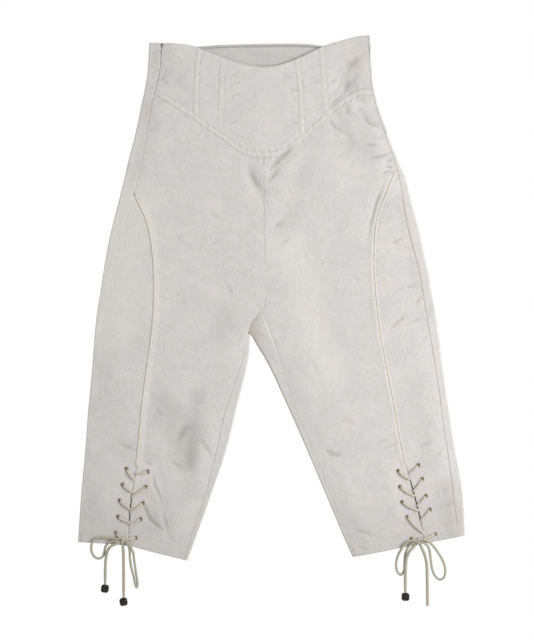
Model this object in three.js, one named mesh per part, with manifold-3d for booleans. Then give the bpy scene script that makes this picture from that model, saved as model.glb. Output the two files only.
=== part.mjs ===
// Lace-up cropped pants in ivory brocade, laid flat on their back.
// Millimetres, +Z up, +Y towards the waist.
// Sides are the wearer's: the right leg lies at negative X. The origin is the middle of the underside.
import * as THREE from "three";
import { mergeVertices } from "three/addons/utils/BufferGeometryUtils.js";
import Module from "manifold-3d";

// ---- Driving dimensions ----
const CLOTH = 1.5; // brocade with its backing
const SEAM = 0.3; // gap between neighbouring pieces
const FOLD_HEIGHT = 4.1; // top of the cloth where it turns round a side fold
const LOFT = 2.7; // how much higher the front lies between the folds
const LOFT_REACH = 40; // distance from a fold over which the front rises
const FOLD_TAB = 7; // how far a fold's lower leaf runs onto the back panel
const WELT_WIDTH = 8;
const WELT_RAISE = 0.8;
const CHANNEL_WIDTH = 9;
const CHANNEL_RAISE = 0.6;
const PIPING_RADIUS = 1.6;
const SLIT_WIDTH = 5.2;
const SLIT_TOP_Y = -262;
const ZIP_GAP = 2.6;
const ZIP_WIDTH = 1.7;
const ZIP_TOP_Y = 376;
const ZIP_BOTTOM_Y = 168;
const NOTCH = { top: 395, depth: 12, flare: 2.6 };
const LACE_RADIUS = 1.5;
const EYELET = { bore: 2.15, barrel: 2.65, flange: 3.7, rise: 0.8 };
const BEAD = { side: 12, chamfer: 1.6 };
const KNOT = { length: 13, width: 9.5, height: 8 };
const PARTING = { crotch: -55.8, apexX: -32.8, lipTop: -28 }; // where the two legs part
// Where the lines bend most, and how close together rows of points stand there.
const HIP_BEND = { low: 38, high: 204, step: 12.5 };
const CROTCH_BEND = { low: -60, high: 4, step: 8 };
const HIP_BEND_AT_CENTRE = { low: 24, high: 118, step: 10.5 };

// Heights at the top of each curved seam: where it leaves the zip or the side seam, where its piping
// starts and where the strip beside it ends.
const CURVED_SEAM = {
  right: { top: 163, piping: 158, strip: 150 },
  left: { top: 198, piping: 192, strip: 186 },
};
const CENTRE_SEAM_TOP_Y = 213; // where the centre seams meet the waist seam
// Heights between which a piece's rows of points are laid out. Each piece keeps those within its own ends.
const ROWS = { waist: [225, 400], front: [-404, 316], strip: -390 };
const NEAR_HEM_Y = -390;
const NEAR_WAIST_SEAM_Y = 320;

// ---- Sections of each leg ----
// A row for each height y, and in it the x of each line that runs down the leg.
const NO = NaN; // the line doesn't reach this height
const LINES = ["y", "outer", "side", "piped", "inseam", "inner"];
const RIGHT_LEG = [
  [395.4, -189.4, -169.7, NO, NO, NO],
  [353, -191.9, -173.3, NO, NO, NO],
  [325.5, -195.8, -179, NO, NO, NO],
  [297.6, -201.9, -186, NO, NO, NO],
  [269.7, -207.5, -190.9, NO, NO, NO],
  [241.8, -214, -195.9, NO, NO, NO],
  [213.9, -221.5, -201.3, NO, -12.5, NO],
  [189.1, -227, -205.8, NO, -12.5, NO],
  [161.5, -233.8, -213.3, -212, -12.3, NO],
  [142.6, -238.7, -218.2, -203.2, -12.2, NO],
  [120.9, -244.2, -225.5, -193.7, -12, NO],
  [96.1, -250.3, -235.6, -187.4, -11.6, NO],
  [68.2, -255.7, -247.3, -183.6, -11.2, NO],
  [40.3, -260.3, -256.1, -181.6, -10.5, NO],
  [10.8, -264.8, -261.2, -181.2, -9.9, NO],
  [-4.7, -267.4, -263.5, -181.5, -9.8, NO],
  [-12.4, -268.7, -264.7, -181.8, -12.2, NO],
  [-21.7, -270.1, -266, -182.3, -18.4, NO],
  [-31, -271.3, -267.2, -182.8, -25.6, NO],
  [-40.3, -272.3, -268.3, -183.6, -31.9, NO],
  [-49.6, -273.3, -269.2, -184.5, -35.2, NO],
  [-55.8, -273.8, -269.8, -185.2, -36.4, -33.3],
  [-72.9, -275.2, -271.2, -187.3, -39.6, -33.9],
  [-91.5, -276.5, -272.5, -190, -44, -35.4],
  [-114.7, -278.4, -274.4, -193.3, -51.3, -40.2],
  [-142.6, -281, -277.1, -197.1, -60.4, -47],
  [-178.2, -284.4, -280.4, -201.3, -72.6, -56.1],
  [-221.7, -287.4, -283.4, -205.1, -82.3, -66.3],
  [-260.4, -290.8, -286.8, -209.3, -90.9, -78],
  [-297.6, -294.4, -290.4, -215, -101, -91],
  [-336.4, -297.1, -293.1, -219.5, -113.3, -104.6],
  [-375.1, -299.6, -295.2, -221, -126.6, -118.6],
  [-406.1, -300.7, -296.3, -221.4, -136, -130.1],
];
const LEFT_LEG = [
  [406.9, 153, 149.7, NO, NO, NO],
  [376.7, 154.2, 151, NO, NO, NO],
  [342.6, 156.4, 153, NO, NO, NO],
  [325.5, 158.4, 155, NO, NO, NO],
  [297.6, 165, 161.5, NO, NO, NO],
  [269.7, 174.9, 170.6, NO, NO, NO],
  [241.8, 184.6, 179.4, NO, NO, NO],
  [213.9, 195.5, 189.7, NO, -11.8, NO],
  [198.4, 202.2, 194.1, 193, -11.7, NO],
  [182.9, 208.5, 198.4, 186.5, -11.7, NO],
  [161.5, 213.7, 202, 178.6, -11.5, NO],
  [142.6, 218.7, 204.5, 170.6, -11.4, NO],
  [120.9, 224.6, 208.4, 164, -11.2, NO],
  [96.1, 230.7, 214.1, 160.8, -10.9, NO],
  [68.2, 236.6, 221.5, 159.9, -10.4, NO],
  [40.3, 243.2, 228.5, 159.9, -9.7, NO],
  [10.8, 247.8, 233.8, 161.9, -9.1, NO],
  [-4.7, 250.8, 236.3, 163.3, -9, NO],
  [-12.4, 252.3, 237.6, 164.1, -10.4, NO],
  [-21.7, 253.9, 239.2, 165.1, -13, NO],
  [-31, 255.4, 240.8, 166.2, -11.4, NO],
  [-40.3, 256.8, 242.4, 167.3, -7.9, NO],
  [-49.6, 258.1, 244, 168.5, -3.4, NO],
  [-55.8, 258.9, 245.1, 169.4, -0.9, -32.4],
  [-72.9, 261.1, 248, 172.3, 5.3, -22.9],
  [-91.5, 263.4, 251.2, 175.9, 11.3, -11.2],
  [-114.7, 266.2, 255, 180.4, 18.4, 1],
  [-142.6, 270.3, 258.9, 185.8, 27.2, 13.8],
  [-178.2, 275.7, 263.7, 192.5, 39.5, 29.8],
  [-221.7, 282, 269.9, 200.4, 57.3, 49.2],
  [-260.4, 289.4, 275.4, 209, 73.2, 65.6],
  [-297.6, 295.4, 280.4, 219, 88.4, 81.4],
  [-336.4, 298.1, 285.3, 228.8, 104.5, 97.7],
  [-367.4, 299.7, 288.9, 235.4, 117.2, 110.7],
  [-401.4, 300.7, 292.7, 238, 130.4, 125.9],
];

// ---- Lines that run across the garment: a row for each point, x then y ----
const FRONT_TOP = [
  [-189.4, 395.4], [-150.2, 394.3], [-122.5, 390.8], [-103.1, 382.9], [-80.9, 374.2], [-53.5, 364.7],
  [-25.6, 358.7], [-6.2, 358.1], [16, 362.2], [43.6, 372.9], [71.3, 386.1], [85.1, 391.8], [112.8, 399.9],
  [134.1, 405.2], [153, 406.9],
];
const BACK_TOP = [
  [-189.4, 395.4], [-169.7, 394.9], [-150.2, 393.2], [-132.5, 390], [-114.1, 389.7], [-80.9, 391.8],
  [-25.6, 393.4], [29.8, 394], [62.8, 392.8], [85.1, 390.6], [112.8, 398], [134.1, 403.6], [153, 406.9],
];
const WELT_UPPER = [
  [-187, 327.1], [-177.8, 321.6], [-150.2, 304.9], [-122.5, 286.9], [-100.3, 270.3], [-75.3, 253.7],
  [-53.5, 237.2], [-36.6, 228.5], [-14, 225.7], [10.1, 227.5], [24, 234.1], [46.3, 251.1], [71.3, 273.1],
  [90.7, 292.5], [112.8, 309.1], [132.2, 320.2], [144.9, 323], [157.2, 321.6], [166, 319],
];
const RIGHT_HEM = [
  [-303, -377.7], [-273.6, -379.4], [-246.5, -381], [-217.8, -384.7], [-183.4, -393.4], [-157.3, -399.9],
  [-140.3, -404.2], [-130, -407],
];
const LEFT_HEM = [
  [125.7, -401.1], [137.2, -399.3], [173.1, -392.2], [216.2, -383.6], [262.1, -375.1], [284.4, -370.8],
  [303, -367.5],
];
const BACK_WAIST_Y = 324; // the back waist seam, a straight line across

// The middle line of each boning channel, from the top edge to the waist seam.
const CHANNELS = {
  right_outer: [[-110.5, 388], [-114.9, 350.3], [-116.4, 281]],
  right_inner: [[-73.6, 373], [-77.2, 322.4], [-78.6, 254]],
  left_inner: [[40.1, 373], [45, 320.2], [48.2, 251]],
  left_outer: [[77.8, 391], [81.5, 334], [84.9, 285]],
};

// The broad folds: a soft trough from one point to another.
const FOLDS = [
  { from: [48, 246], to: [2, 200], half: 16, depth: 1.4 },
  { from: [62, 258], to: [38, 180], half: 26, depth: 1.2 },
  { from: [38, 180], to: [4, 92], half: 26, depth: 1 },
  { from: [-34, 200], to: [-16, 160], half: 18, depth: 1 },
  { from: [118, 382], to: [142, 300], half: 24, depth: 1.4 },
  { from: [166, 160], to: [150, 96], half: 18, depth: 1 },
  { from: [-176, -262], to: [-158, -372], half: 10, depth: 0.8 },
];

// Eyelets of each leg from the top down, x then y, and the heights where the strand from each one
// crosses the slit. The lowest pair's strands go to the bow knot instead.
const LACING = {
  right: {
    outer: [[-224.4, -264.4], [-230.3, -288.9], [-235.1, -313.3], [-237.5, -338.5], [-240.7, -363.6]],
    inner: [[-191.6, -268.6], [-194.8, -292.3], [-198.7, -317.4], [-202.4, -342.2], [-209.9, -371.5]],
    outerCross: [-284, -295.5, -320.5, -343],
    innerCross: [-274, -307, -332, -354.5],
    knot: [-231.5, -374.5],
  },
  left: {
    outer: [[227.5, -258.7], [233.3, -280.1], [238.9, -306.1], [245.2, -327.5], [253.6, -365.2]],
    inner: [[195.9, -267.8], [199, -292.3], [202.1, -316], [210, -339], [216.4, -372.3]],
    outerCross: [-274, -297, -319, -342],
    innerCross: [-285, -308, -330.5, -353],
    knot: [228.3, -376.2],
  },
};

// Free stretches of the laces: x, y and z of the cord's middle, each from the knot outwards.
const FREE_CORDS = {
  bow_right_loop_outer: [
    [-238.3, -373.4, 12.4], [-245, -372.6, 10.7], [-256, -372.4, 8.9], [-268, -372.2, 8.5],
    [-276.5, -374.8, 8], [-280.3, -381.7, 6.8], [-281, -388.8, 3.2], [-278.8, -395.4, 1.9],
    [-273.4, -401.8, 1.9], [-267, -403.6, 1.9], [-262.2, -399.4, 1.9], [-260, -391.4, 3.2],
    [-258.2, -384, 7.8], [-253, -379.2, 8.9], [-245.4, -377.6, 9.9], [-238.4, -377.4, 11.2],
  ],
  bow_right_loop_inner: [
    [-224.8, -377.4, 12.4], [-219.8, -381, 10.6], [-217.6, -387.6, 8.3], [-217.2, -394.4, 3.6],
    [-217, -401.6, 1.9], [-216, -415, 1.9], [-213.2, -432, 1.9], [-211, -444, 1.9],
    [-208.4, -448.6, 1.9], [-206, -444, 1.9], [-207.6, -432, 1.9], [-211, -415, 1.9],
    [-212.3, -402, 1.9], [-212.4, -395.6, 3.6], [-212.2, -389.4, 8.3], [-214.4, -383.4, 9.6],
    [-219, -376.8, 11.8], [-224.8, -373.6, 12.5],
  ],
  bow_right_end_outer: [
    [-236, -379.8, 9.4], [-241, -385, 8.2], [-247, -390.2, 3.8], [-251.6, -396.2, 1.9],
    [-255, -404.4, 1.9], [-257, -416, 1.9], [-257.6, -430, 1.9], [-257.7, -443.1, 1.9],
  ],
  bow_right_end_inner: [
    [-230, -380, 9.4], [-229.6, -387, 8.2], [-229.3, -393.6, 3.4], [-229.2, -401, 1.9],
    [-229.1, -420, 1.9], [-228.9, -441, 1.9], [-229, -461.8, 1.9],
  ],
  bow_left_loop_inner: [
    [221.6, -374.8, 12.4], [214.5, -375.8, 11.6], [206, -380.4, 9.8], [201.2, -388.2, 8.2],
    [197.4, -395.4, 4], [194.6, -403.4, 1.9], [193.2, -413, 1.9], [194.8, -423.4, 1.9],
    [199.2, -428.4, 1.9], [202.6, -423.4, 1.9], [202.9, -410, 1.9], [203.8, -399, 2.6],
    [206.2, -391.2, 7.4], [210.2, -385, 9.1], [215.4, -380.9, 10.4], [221.2, -379, 11.2],
  ],
  bow_left_loop_outer: [
    [235.2, -378.6, 11.6], [240.6, -382.4, 9.7], [243.9, -388.4, 6.6], [245.4, -395, 2.6],
    [246.6, -404, 1.9], [248.6, -418, 1.9], [253.2, -430, 1.9], [260.5, -436.2, 1.9],
    [267.2, -433, 1.9], [269.4, -423, 1.9], [266.4, -409, 1.9], [259.8, -397, 2.2],
    [254, -388.6, 5], [248.4, -381.6, 8.4], [242.4, -376.6, 10.2], [235.4, -374, 12.4],
  ],
  bow_left_end_inner: [
    [223.4, -381, 9.4], [217.4, -387.4, 8.2], [212.4, -394.2, 4.2], [209.4, -401.6, 1.9],
    [207.8, -412, 1.9], [207.4, -430, 1.9], [207.3, -456.1, 1.9],
  ],
  bow_left_end_outer: [
    [230, -381.8, 9.4], [232.6, -387.4, 8.2], [235.8, -394, 3.8], [238.4, -401.6, 1.9],
    [240.4, -412, 1.9], [241.2, -430, 1.9], [241.6, -453, 1.9], [241.7, -476, 1.9],
  ],
};
const BEADS = {
  bead_right_outer: { at: [-257.8, -449.5], turn: 0 },
  bead_right_inner: { at: [-229, -469.9], turn: 45 },
  bead_left_inner: { at: [207.3, -462.5], turn: 0 },
};

// ---- Finishes ----
const finish = (color, roughness, metalness = 0) =>
  new THREE.MeshStandardMaterial({ color, roughness, metalness });
const BROCADE = finish(0xe0dcd4, 0.62);
const TRIM = finish(0xe6e1d2, 0.55);
const LACE = finish(0xe9e2d0, 0.8);
const BRONZE = finish(0x6b5f4c, 0.4, 1);
const DARK_BRONZE = finish(0x3a322a, 0.38, 1);
const NICKEL = finish(0x9d9aa3, 0.35, 1);

// ---- Curves ----
// A smooth value through the rows of a table, by columns: cubic pieces with the slopes of their neighbours.
function smooth(rows, key, value) {
  const points = rows.map((row) => [row[key], row[value]]).filter(([a, b]) => !Number.isNaN(a + b));
  points.sort((p, q) => p[0] - q[0]);
  const slope = (i, j) => (points[j][1] - points[i][1]) / (points[j][0] - points[i][0]);
  const last = points.length - 1;
  return (at) => {
    if (at <= points[0][0]) return points[0][1] + slope(0, 1) * (at - points[0][0]);
    if (at >= points[last][0])
      return points[last][1] + slope(last - 1, last) * (at - points[last][0]);
    let i = 0;
    while (points[i + 1][0] < at) i += 1;
    const span = points[i + 1][0] - points[i][0];
    const t = (at - points[i][0]) / span;
    const start = slope(Math.max(i - 1, 0), i + 1) * span;
    const end = slope(i, Math.min(i + 2, last)) * span;
    const [a, b] = [points[i][1], points[i + 1][1]];
    return a + t * (start + t * (3 * (b - a) - 2 * start - end + t * (2 * (a - b) + start + end)));
  };
}
const column = (table, name) => smooth(table, 0, LINES.indexOf(name));
const across = (rows) => smooth(rows, 0, 1);
const legLines = (table) =>
  Object.fromEntries(LINES.slice(1).map((name) => [name, column(table, name)]));

const frontTop = across(FRONT_TOP);
const backTop = across(BACK_TOP);
const weltUpper = across(WELT_UPPER);
const weltLower = (x) => weltUpper(x) - WELT_WIDTH;
const LEG = {
  right: { ...legLines(RIGHT_LEG), hem: across(RIGHT_HEM), inward: 1 },
  left: { ...legLines(LEFT_LEG), hem: across(LEFT_HEM), inward: -1 },
};
const shifted = (line, by) => (at) => line(at) + by;
// The height where a line x(y) meets a line y(x), from a height near it.
function meet(xOfY, yOfX, start) {
  let y = start;
  for (let i = 0; i < 30; i += 1) y = yOfX(xOfY(y));
  return y;
}

// ---- How high the front lies ----
const ease = (t) => {
  const c = Math.min(Math.max(t, 0), 1);
  return c * c * (3 - 2 * c);
};
// The distance to the nearest fold: a side of the garment, an inner leg or the point where the legs part.
function foldDistance(x, y) {
  const { crotch, apexX } = PARTING;
  let parting = Math.hypot(x - apexX, y - crotch);
  if (y < crotch) parting = x < apexX ? LEG.right.inner(y) - x : x - LEG.left.inner(y);
  return Math.max(Math.min(x - LEG.right.outer(y), LEG.left.outer(y) - x, parting), 0);
}
function foldDepth(x, y) {
  return FOLDS.reduce((sum, { from, to, half, depth }) => {
    const along = new THREE.Vector2(to[0] - from[0], to[1] - from[1]);
    const out = new THREE.Vector2(x - from[0], y - from[1]);
    const t = Math.min(Math.max(out.dot(along) / along.lengthSq(), 0), 1);
    const away = out.sub(along.multiplyScalar(t)).length();
    return sum + depth * ease(1 - away / half);
  }, 0);
}
const frontHeight = (x, y) =>
  FOLD_HEIGHT + LOFT * ease(foldDistance(x, y) / LOFT_REACH) - Math.min(foldDepth(x, y), 2);

// ---- Solids ----
// A closed wall over a grid of points: grid[row][column] holds the top point and the bottom point.
function wallGeometry(grid) {
  const [rows, cols] = [grid.length, grid[0].length];
  const positions = [];
  const indices = [];
  for (const side of [0, 1]) for (const row of grid) for (const cell of row) positions.push(...cell[side]);
  const at = (side, r, c) => side * rows * cols + r * cols + c;
  const quad = (a, b, c, d) => indices.push(a, b, c, a, c, d);
  for (let r = 0; r < rows - 1; r += 1)
    for (let c = 0; c < cols - 1; c += 1) {
      quad(at(0, r, c), at(0, r, c + 1), at(0, r + 1, c + 1), at(0, r + 1, c));
      quad(at(1, r, c), at(1, r + 1, c), at(1, r + 1, c + 1), at(1, r, c + 1));
    }
  const rim = [];
  for (let c = 0; c < cols - 1; c += 1) rim.push([0, c]);
  for (let r = 0; r < rows - 1; r += 1) rim.push([r, cols - 1]);
  for (let c = cols - 1; c > 0; c -= 1) rim.push([rows - 1, c]);
  for (let r = rows - 1; r > 0; r -= 1) rim.push([r, 0]);
  rim.forEach((here, i) => {
    const next = rim[(i + 1) % rim.length];
    quad(at(0, ...here), at(1, ...here), at(1, ...next), at(0, ...next));
  });
  return facingOut(new THREE.BufferGeometry()
    .setAttribute("position", new THREE.Float32BufferAttribute(positions, 3))
    .setIndex(indices));
}
// A closed ring of points lofted along rows, with flat ends.
function ringGeometry(rings) {
  const [rows, cols] = [rings.length, rings[0].length];
  const indices = [];
  const at = (r, c) => r * cols + (c % cols);
  for (let r = 0; r < rows - 1; r += 1)
    for (let c = 0; c < cols; c += 1)
      indices.push(at(r, c), at(r, c + 1), at(r + 1, c + 1), at(r, c), at(r + 1, c + 1), at(r + 1, c));
  // A ring runs out along the outer face and back along the inner face, so an end is a strip of quads.
  for (const [r, turn] of [[0, 1], [rows - 1, 0]])
    for (let c = 0; c < cols / 2 - 1; c += 1) {
      const [a, b, d, e] = [at(r, c), at(r, c + 1), at(r, cols - 2 - c), at(r, cols - 1 - c)];
      indices.push(...(turn ? [a, e, d, a, d, b] : [a, d, e, a, b, d]));
    }
  return facingOut(new THREE.BufferGeometry()
    .setAttribute("position", new THREE.Float32BufferAttribute(rings.flat(2), 3))
    .setIndex(indices));
}
function facingOut(geometry) {
  const p = geometry.attributes.position;
  const index = geometry.index.array;
  const [a, b, c] = [new THREE.Vector3(), new THREE.Vector3(), new THREE.Vector3()];
  let volume = 0;
  for (let i = 0; i < index.length; i += 3) {
    a.fromBufferAttribute(p, index[i]);
    b.fromBufferAttribute(p, index[i + 1]);
    c.fromBufferAttribute(p, index[i + 2]);
    volume += a.dot(b.cross(c));
  }
  if (volume < 0)
    for (let i = 0; i < index.length; i += 3) [index[i], index[i + 1]] = [index[i + 1], index[i]];
  return geometry;
}

const wasm = await Module();
wasm.setup();
function solidOf(geometry) {
  const bare = geometry.clone();
  bare.deleteAttribute("normal");
  bare.deleteAttribute("uv");
  const merged = mergeVertices(bare, 1e-4);
  return new wasm.Manifold(new wasm.Mesh({
    numProp: 3,
    vertProperties: merged.attributes.position.array,
    triVerts: new Uint32Array(merged.index.array),
  }));
}
function geometryOf(solid) {
  const { numProp, vertProperties, triVerts } = solid.getMesh();
  const corner = (v) => Array.from(vertProperties.subarray(v * numProp, v * numProp + 3));
  const points = Array.from(triVerts).flatMap(corner);
  return new THREE.BufferGeometry()
    .setAttribute("position", new THREE.Float32BufferAttribute(points, 3));
}

// A front piece between two lines x(y) and two lines y(x), lying at the front's height. Its rows stand at
// the given heights on the line named by rowsOn, and its columns crowd towards that line when crowd is
// over 1. Its raise lifts the whole top face, and its crown only the middle.
const END_ROWS = 0.008; // share of a piece's height at each end in which no other row stands
function frontPiece(piece) {
  const { left, right, bottom, top, cols, heights } = piece;
  const { rowsOn = "right", crowd = 1, raise = 0, crown = 0 } = piece;
  const middle = heights[Math.floor(heights.length / 2)];
  const ends = {
    left: [meet(left, bottom, middle), meet(left, top, middle)],
    right: [meet(right, bottom, middle), meet(right, top, middle)],
  };
  const mix = THREE.MathUtils.lerp;
  const [low, high] = ends[rowsOn];
  const inside = heights
    .map((y) => (y - low) / (high - low))
    .filter((v) => v > END_ROWS && v < 1 - END_ROWS);
  const spread = (c) => (rowsOn === "right" ? 1 - (1 - c / cols) ** crowd : (c / cols) ** crowd);
  const xAt = (u, v) => mix(left(mix(...ends.left, v)), right(mix(...ends.right, v)), u);
  return wallGeometry([0, ...inside, 1].map((v) => Array.from({ length: cols + 1 }, (_, c) => {
    const u = spread(c);
    const x = xAt(u, v);
    const below = bottom(xAt(u, 0)) - mix(ends.left[0], ends.right[0], u);
    const above = top(xAt(u, 1)) - mix(ends.left[1], ends.right[1], u);
    const y = mix(mix(...ends.left, v), mix(...ends.right, v), u) + mix(below, above, v);
    const z = frontHeight(x, y);
    return [[x, y, z + raise + crown * Math.sin(Math.PI * u)], [x, y, z - CLOTH]];
  })));
}

// The fold of a back panel round an edge: a lower leaf, a rounded turn and a lip that runs in to the seam.
const END_SLANT = 6; // how quickly the slant of an end dies out along the fold
function foldSolid({ edge, seam, inward, heights, bottom, top }) {
  const outerR = FOLD_HEIGHT / 2;
  const innerR = outerR - CLOTH;
  const turn = [-90, -30, 30, 90].map(THREE.MathUtils.degToRad);
  const [fromY, toY] = [heights[0], heights.at(-1)];
  const rings = heights.map((y) => {
    const v = (y - fromY) / (toY - fromY);
    const x0 = edge(y);
    const atBottom = (x) => (bottom(x) - bottom(x0)) * (1 - v) ** END_SLANT;
    const atTop = (x) => (top(x) - top(x0)) * v ** END_SLANT;
    const atY = (x) => y + atBottom(x) + atTop(x);
    const place = (x, z) => [x, atY(x), z];
    const tip = seam(atY(seam(y))) - inward * (SEAM / 2);
    const arc = (radius) => turn.map((a) =>
      place(x0 + inward * (outerR - radius * Math.cos(a)), outerR + radius * Math.sin(a)));
    const lip = (drop) => [0.5, 1].map((part) => {
      const x = THREE.MathUtils.lerp(x0 + inward * outerR, tip, part);
      return place(x, frontHeight(x, y) - drop);
    });
    const leaf = (z) => place(x0 + inward * (outerR + FOLD_TAB), z);
    const outerFace = [leaf(0), ...arc(outerR), ...lip(0)];
    const innerFace = [leaf(CLOTH), ...arc(innerR), ...lip(CLOTH)];
    return [...outerFace, ...innerFace.reverse()];
  });
  return solidOf(ringGeometry(rings));
}
// A flat sheet that lies on the ground inside its folds.
function floorSolid(outline) {
  const shape = new THREE.Shape(outline.map(([x, y]) => new THREE.Vector2(x, y)));
  return solidOf(new THREE.ExtrudeGeometry(shape, { depth: CLOTH, bevelEnabled: false }));
}
const none = () => 0;
const steps = (from, to, count) =>
  Array.from({ length: count + 1 }, (_, i) => THREE.MathUtils.lerp(from, to, i / count));
// Heights between two ends, closer together in the bends.
function rowHeights(from, to, bends, wide = 34) {
  const lastStep = 5;
  const out = [from];
  for (let y = from; ;) {
    const bend = bends.find(({ low, high }) => y >= low - 1 && y < high);
    const next = bends.find(({ low }) => y < low - 1 && y + wide > low);
    y = bend ? y + bend.step : next ? next.low : y + wide;
    if (y > to - lastStep) break;
    out.push(y);
  }
  return [...out, to];
}

// A cord's round section, extruded along a path.
function cordGeometry(path, radius, stepCount, sides = 8) {
  const half = Math.PI / sides;
  const corners = steps(half, 2 * Math.PI + half, sides).slice(0, -1)
    .map((angle) => new THREE.Vector2(radius * Math.cos(angle), radius * Math.sin(angle)));
  const section = new THREE.Shape(corners);
  return new THREE.ExtrudeGeometry(section, { steps: stepCount, extrudePath: path });
}
function smoothPath(points) {
  const path = new THREE.CatmullRomCurve3(points.map((p) => new THREE.Vector3(...p)), false, "centripetal");
  path.arcLengthDivisions = 600;
  return path;
}
// Straight runs with rounded corners. A ring stands at each end of a run and within each corner.
class CorneredPath extends THREE.Curve {
  constructor(points, bend) {
    super();
    const at = points.map((p) => new THREE.Vector3(...p));
    this.stops = [at[0]];
    for (let i = 1; i < at.length - 1; i += 1) {
      const towards = (other) => {
        const run = other.clone().sub(at[i]);
        return at[i].clone().add(run.setLength(Math.min(bend, run.length() / 2)));
      };
      const start = towards(at[i - 1]);
      const end = towards(at[i + 1]);
      const corner = new THREE.QuadraticBezierCurve3(start, at[i], end);
      this.stops.push(start, corner.getPoint(0.5), end);
    }
    this.stops.push(at.at(-1));
  }
  getPoint(t) {
    const place = t * (this.stops.length - 1);
    const i = Math.min(Math.floor(place + 1e-6), this.stops.length - 2);
    return this.stops[i].clone().lerp(this.stops[i + 1], place - i);
  }
  getTangent(t) {
    const half = 0.5 / (this.stops.length - 1);
    return this.getPoint(Math.min(t + half, 1)).sub(this.getPoint(Math.max(t - half, 0))).normalize();
  }
  // Rings stand at the stops, not at equal lengths.
  getUtoTmapping(u) {
    return u;
  }
}

// ---- Pieces ----
const pants = new THREE.Group();
function add(name, geometry, material) {
  const mesh = new THREE.Mesh(geometry, material);
  mesh.name = name;
  pants.add(mesh);
  return mesh;
}

// How far each side of the zip opening leans away from it at the top.
const notchFlare = (y) => NOTCH.flare * ease((y - NOTCH.top + NOTCH.depth) / NOTCH.depth);

function addWaistFront() {
  const channels = Object.entries(CHANNELS).map(([name, rows]) => [name, smooth(rows, 1, 0)]);
  const lines = Object.fromEntries(channels);
  const half = CHANNEL_WIDTH / 2;
  const seam = SEAM / 2;
  const common = { bottom: shifted(weltUpper, seam), top: frontTop, heights: steps(...ROWS.waist, 8) };
  const zipEdge = (y) => LEG.right.side(y) + ZIP_GAP / 2 + notchFlare(y);
  const sideEdge = shifted(LEG.left.side, -seam);
  const from = (name) => shifted(lines[name], half + seam);
  const to = (name) => shifted(lines[name], -half - seam);
  const panels = {
    right_side: [zipEdge, to("right_outer"), 5],
    right_mid: [from("right_outer"), to("right_inner"), 2],
    centre: [from("right_inner"), to("left_inner"), 12],
    left_mid: [from("left_inner"), to("left_outer"), 2],
    left_side: [from("left_outer"), sideEdge, 7],
  };
  for (const [name, [left, right, cols]] of Object.entries(panels))
    add(`waist_front_${name}`, frontPiece({ ...common, left, right, cols }), BROCADE);
  for (const [name, line] of channels) {
    const [left, right] = [shifted(line, -half + seam), shifted(line, half - seam)];
    const channel = frontPiece({ ...common, left, right, cols: 2, raise: 0.2, crown: CHANNEL_RAISE });
    add(`boning_channel_${name}`, channel, BROCADE);
  }
}

function addWelt() {
  // The rows of points below it are further apart, so it keeps a wider gap there.
  const [clearAbove, clearBelow] = [0.75, 1.2];
  const left = shifted(LEG.right.side, ZIP_GAP / 2);
  const right = shifted(LEG.left.side, -SEAM / 2);
  const xFrom = left(meet(left, weltUpper, NEAR_WAIST_SEAM_Y));
  const xTo = right(meet(right, weltUpper, NEAR_WAIST_SEAM_Y));
  const grid = [clearAbove, WELT_WIDTH / 2, WELT_WIDTH - clearBelow].map((down, i) =>
    steps(xFrom, xTo, 48).map((x) => {
      const y = weltUpper(x) - down;
      const z = frontHeight(x, y);
      return [[x, y, z + WELT_RAISE * (i === 1 ? 1.5 : 1)], [x, y, z - CLOTH]];
    }));
  add("waist_seam_welt", wallGeometry(grid), BROCADE);
}

// Half the gap at the curved seam: its piping's down to the slit, then the open slit's.
const SLIT_OPENING = 14; // length over which the slit opens out
const seamHalf = (y) => {
  const piped = PIPING_RADIUS + SEAM;
  const shut = ease((y - SLIT_TOP_Y + SLIT_OPENING) / SLIT_OPENING);
  return THREE.MathUtils.lerp(SLIT_WIDTH / 2, piped, shut);
};

function addLegFront(side) {
  const leg = LEG[side];
  const seam = SEAM / 2;
  const zip = side === "right";
  const curveTop = CURVED_SEAM[side].top;
  // Above the curved seam's start the front runs to the zip or to the side seam.
  const past = (y, length) => ease((y - curveTop + 6) / length);
  const clear = (y) => THREE.MathUtils.lerp(seamHalf(y), zip ? ZIP_GAP / 2 : seam, past(y, 12));
  const curve = (y) => {
    const below = leg.piped(Math.min(y, curveTop + 2));
    return THREE.MathUtils.lerp(below, leg.side(y), past(y, 10)) + leg.inward * clear(y);
  };
  const centre = (y) => leg.inseam(y) - leg.inward * seam;
  const [left, right] = zip ? [curve, centre] : [centre, curve];
  const heights = rowHeights(...ROWS.front, [CROTCH_BEND, HIP_BEND_AT_CENTRE]);
  const panel = frontPiece({
    left, right, heights, bottom: leg.hem, top: shifted(weltLower, -seam), cols: 8,
    rowsOn: zip ? "right" : "left", crowd: 1.6,
  });
  add(`leg_front_${side}`, geometryOf(cutEyelets(solidOf(panel), LACING[side].inner)), BROCADE);
}

function addLegSide(side) {
  const leg = LEG[side];
  const stripTop = CURVED_SEAM[side].strip;
  const piped = (y) => leg.piped(y) - leg.inward * seamHalf(y);
  const outer = (y) => leg.side(y) + leg.inward * (SEAM / 2);
  const [left, right] = side === "right" ? [outer, piped] : [piped, outer];
  const panel = frontPiece({
    left, right, bottom: leg.hem, top: () => stripTop, cols: 3,
    heights: rowHeights(ROWS.strip, stripTop, [HIP_BEND]), rowsOn: side === "right" ? "right" : "left",
  });
  add(`leg_side_${side}`, geometryOf(cutEyelets(solidOf(panel), LACING[side].outer)), BROCADE);
}

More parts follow.
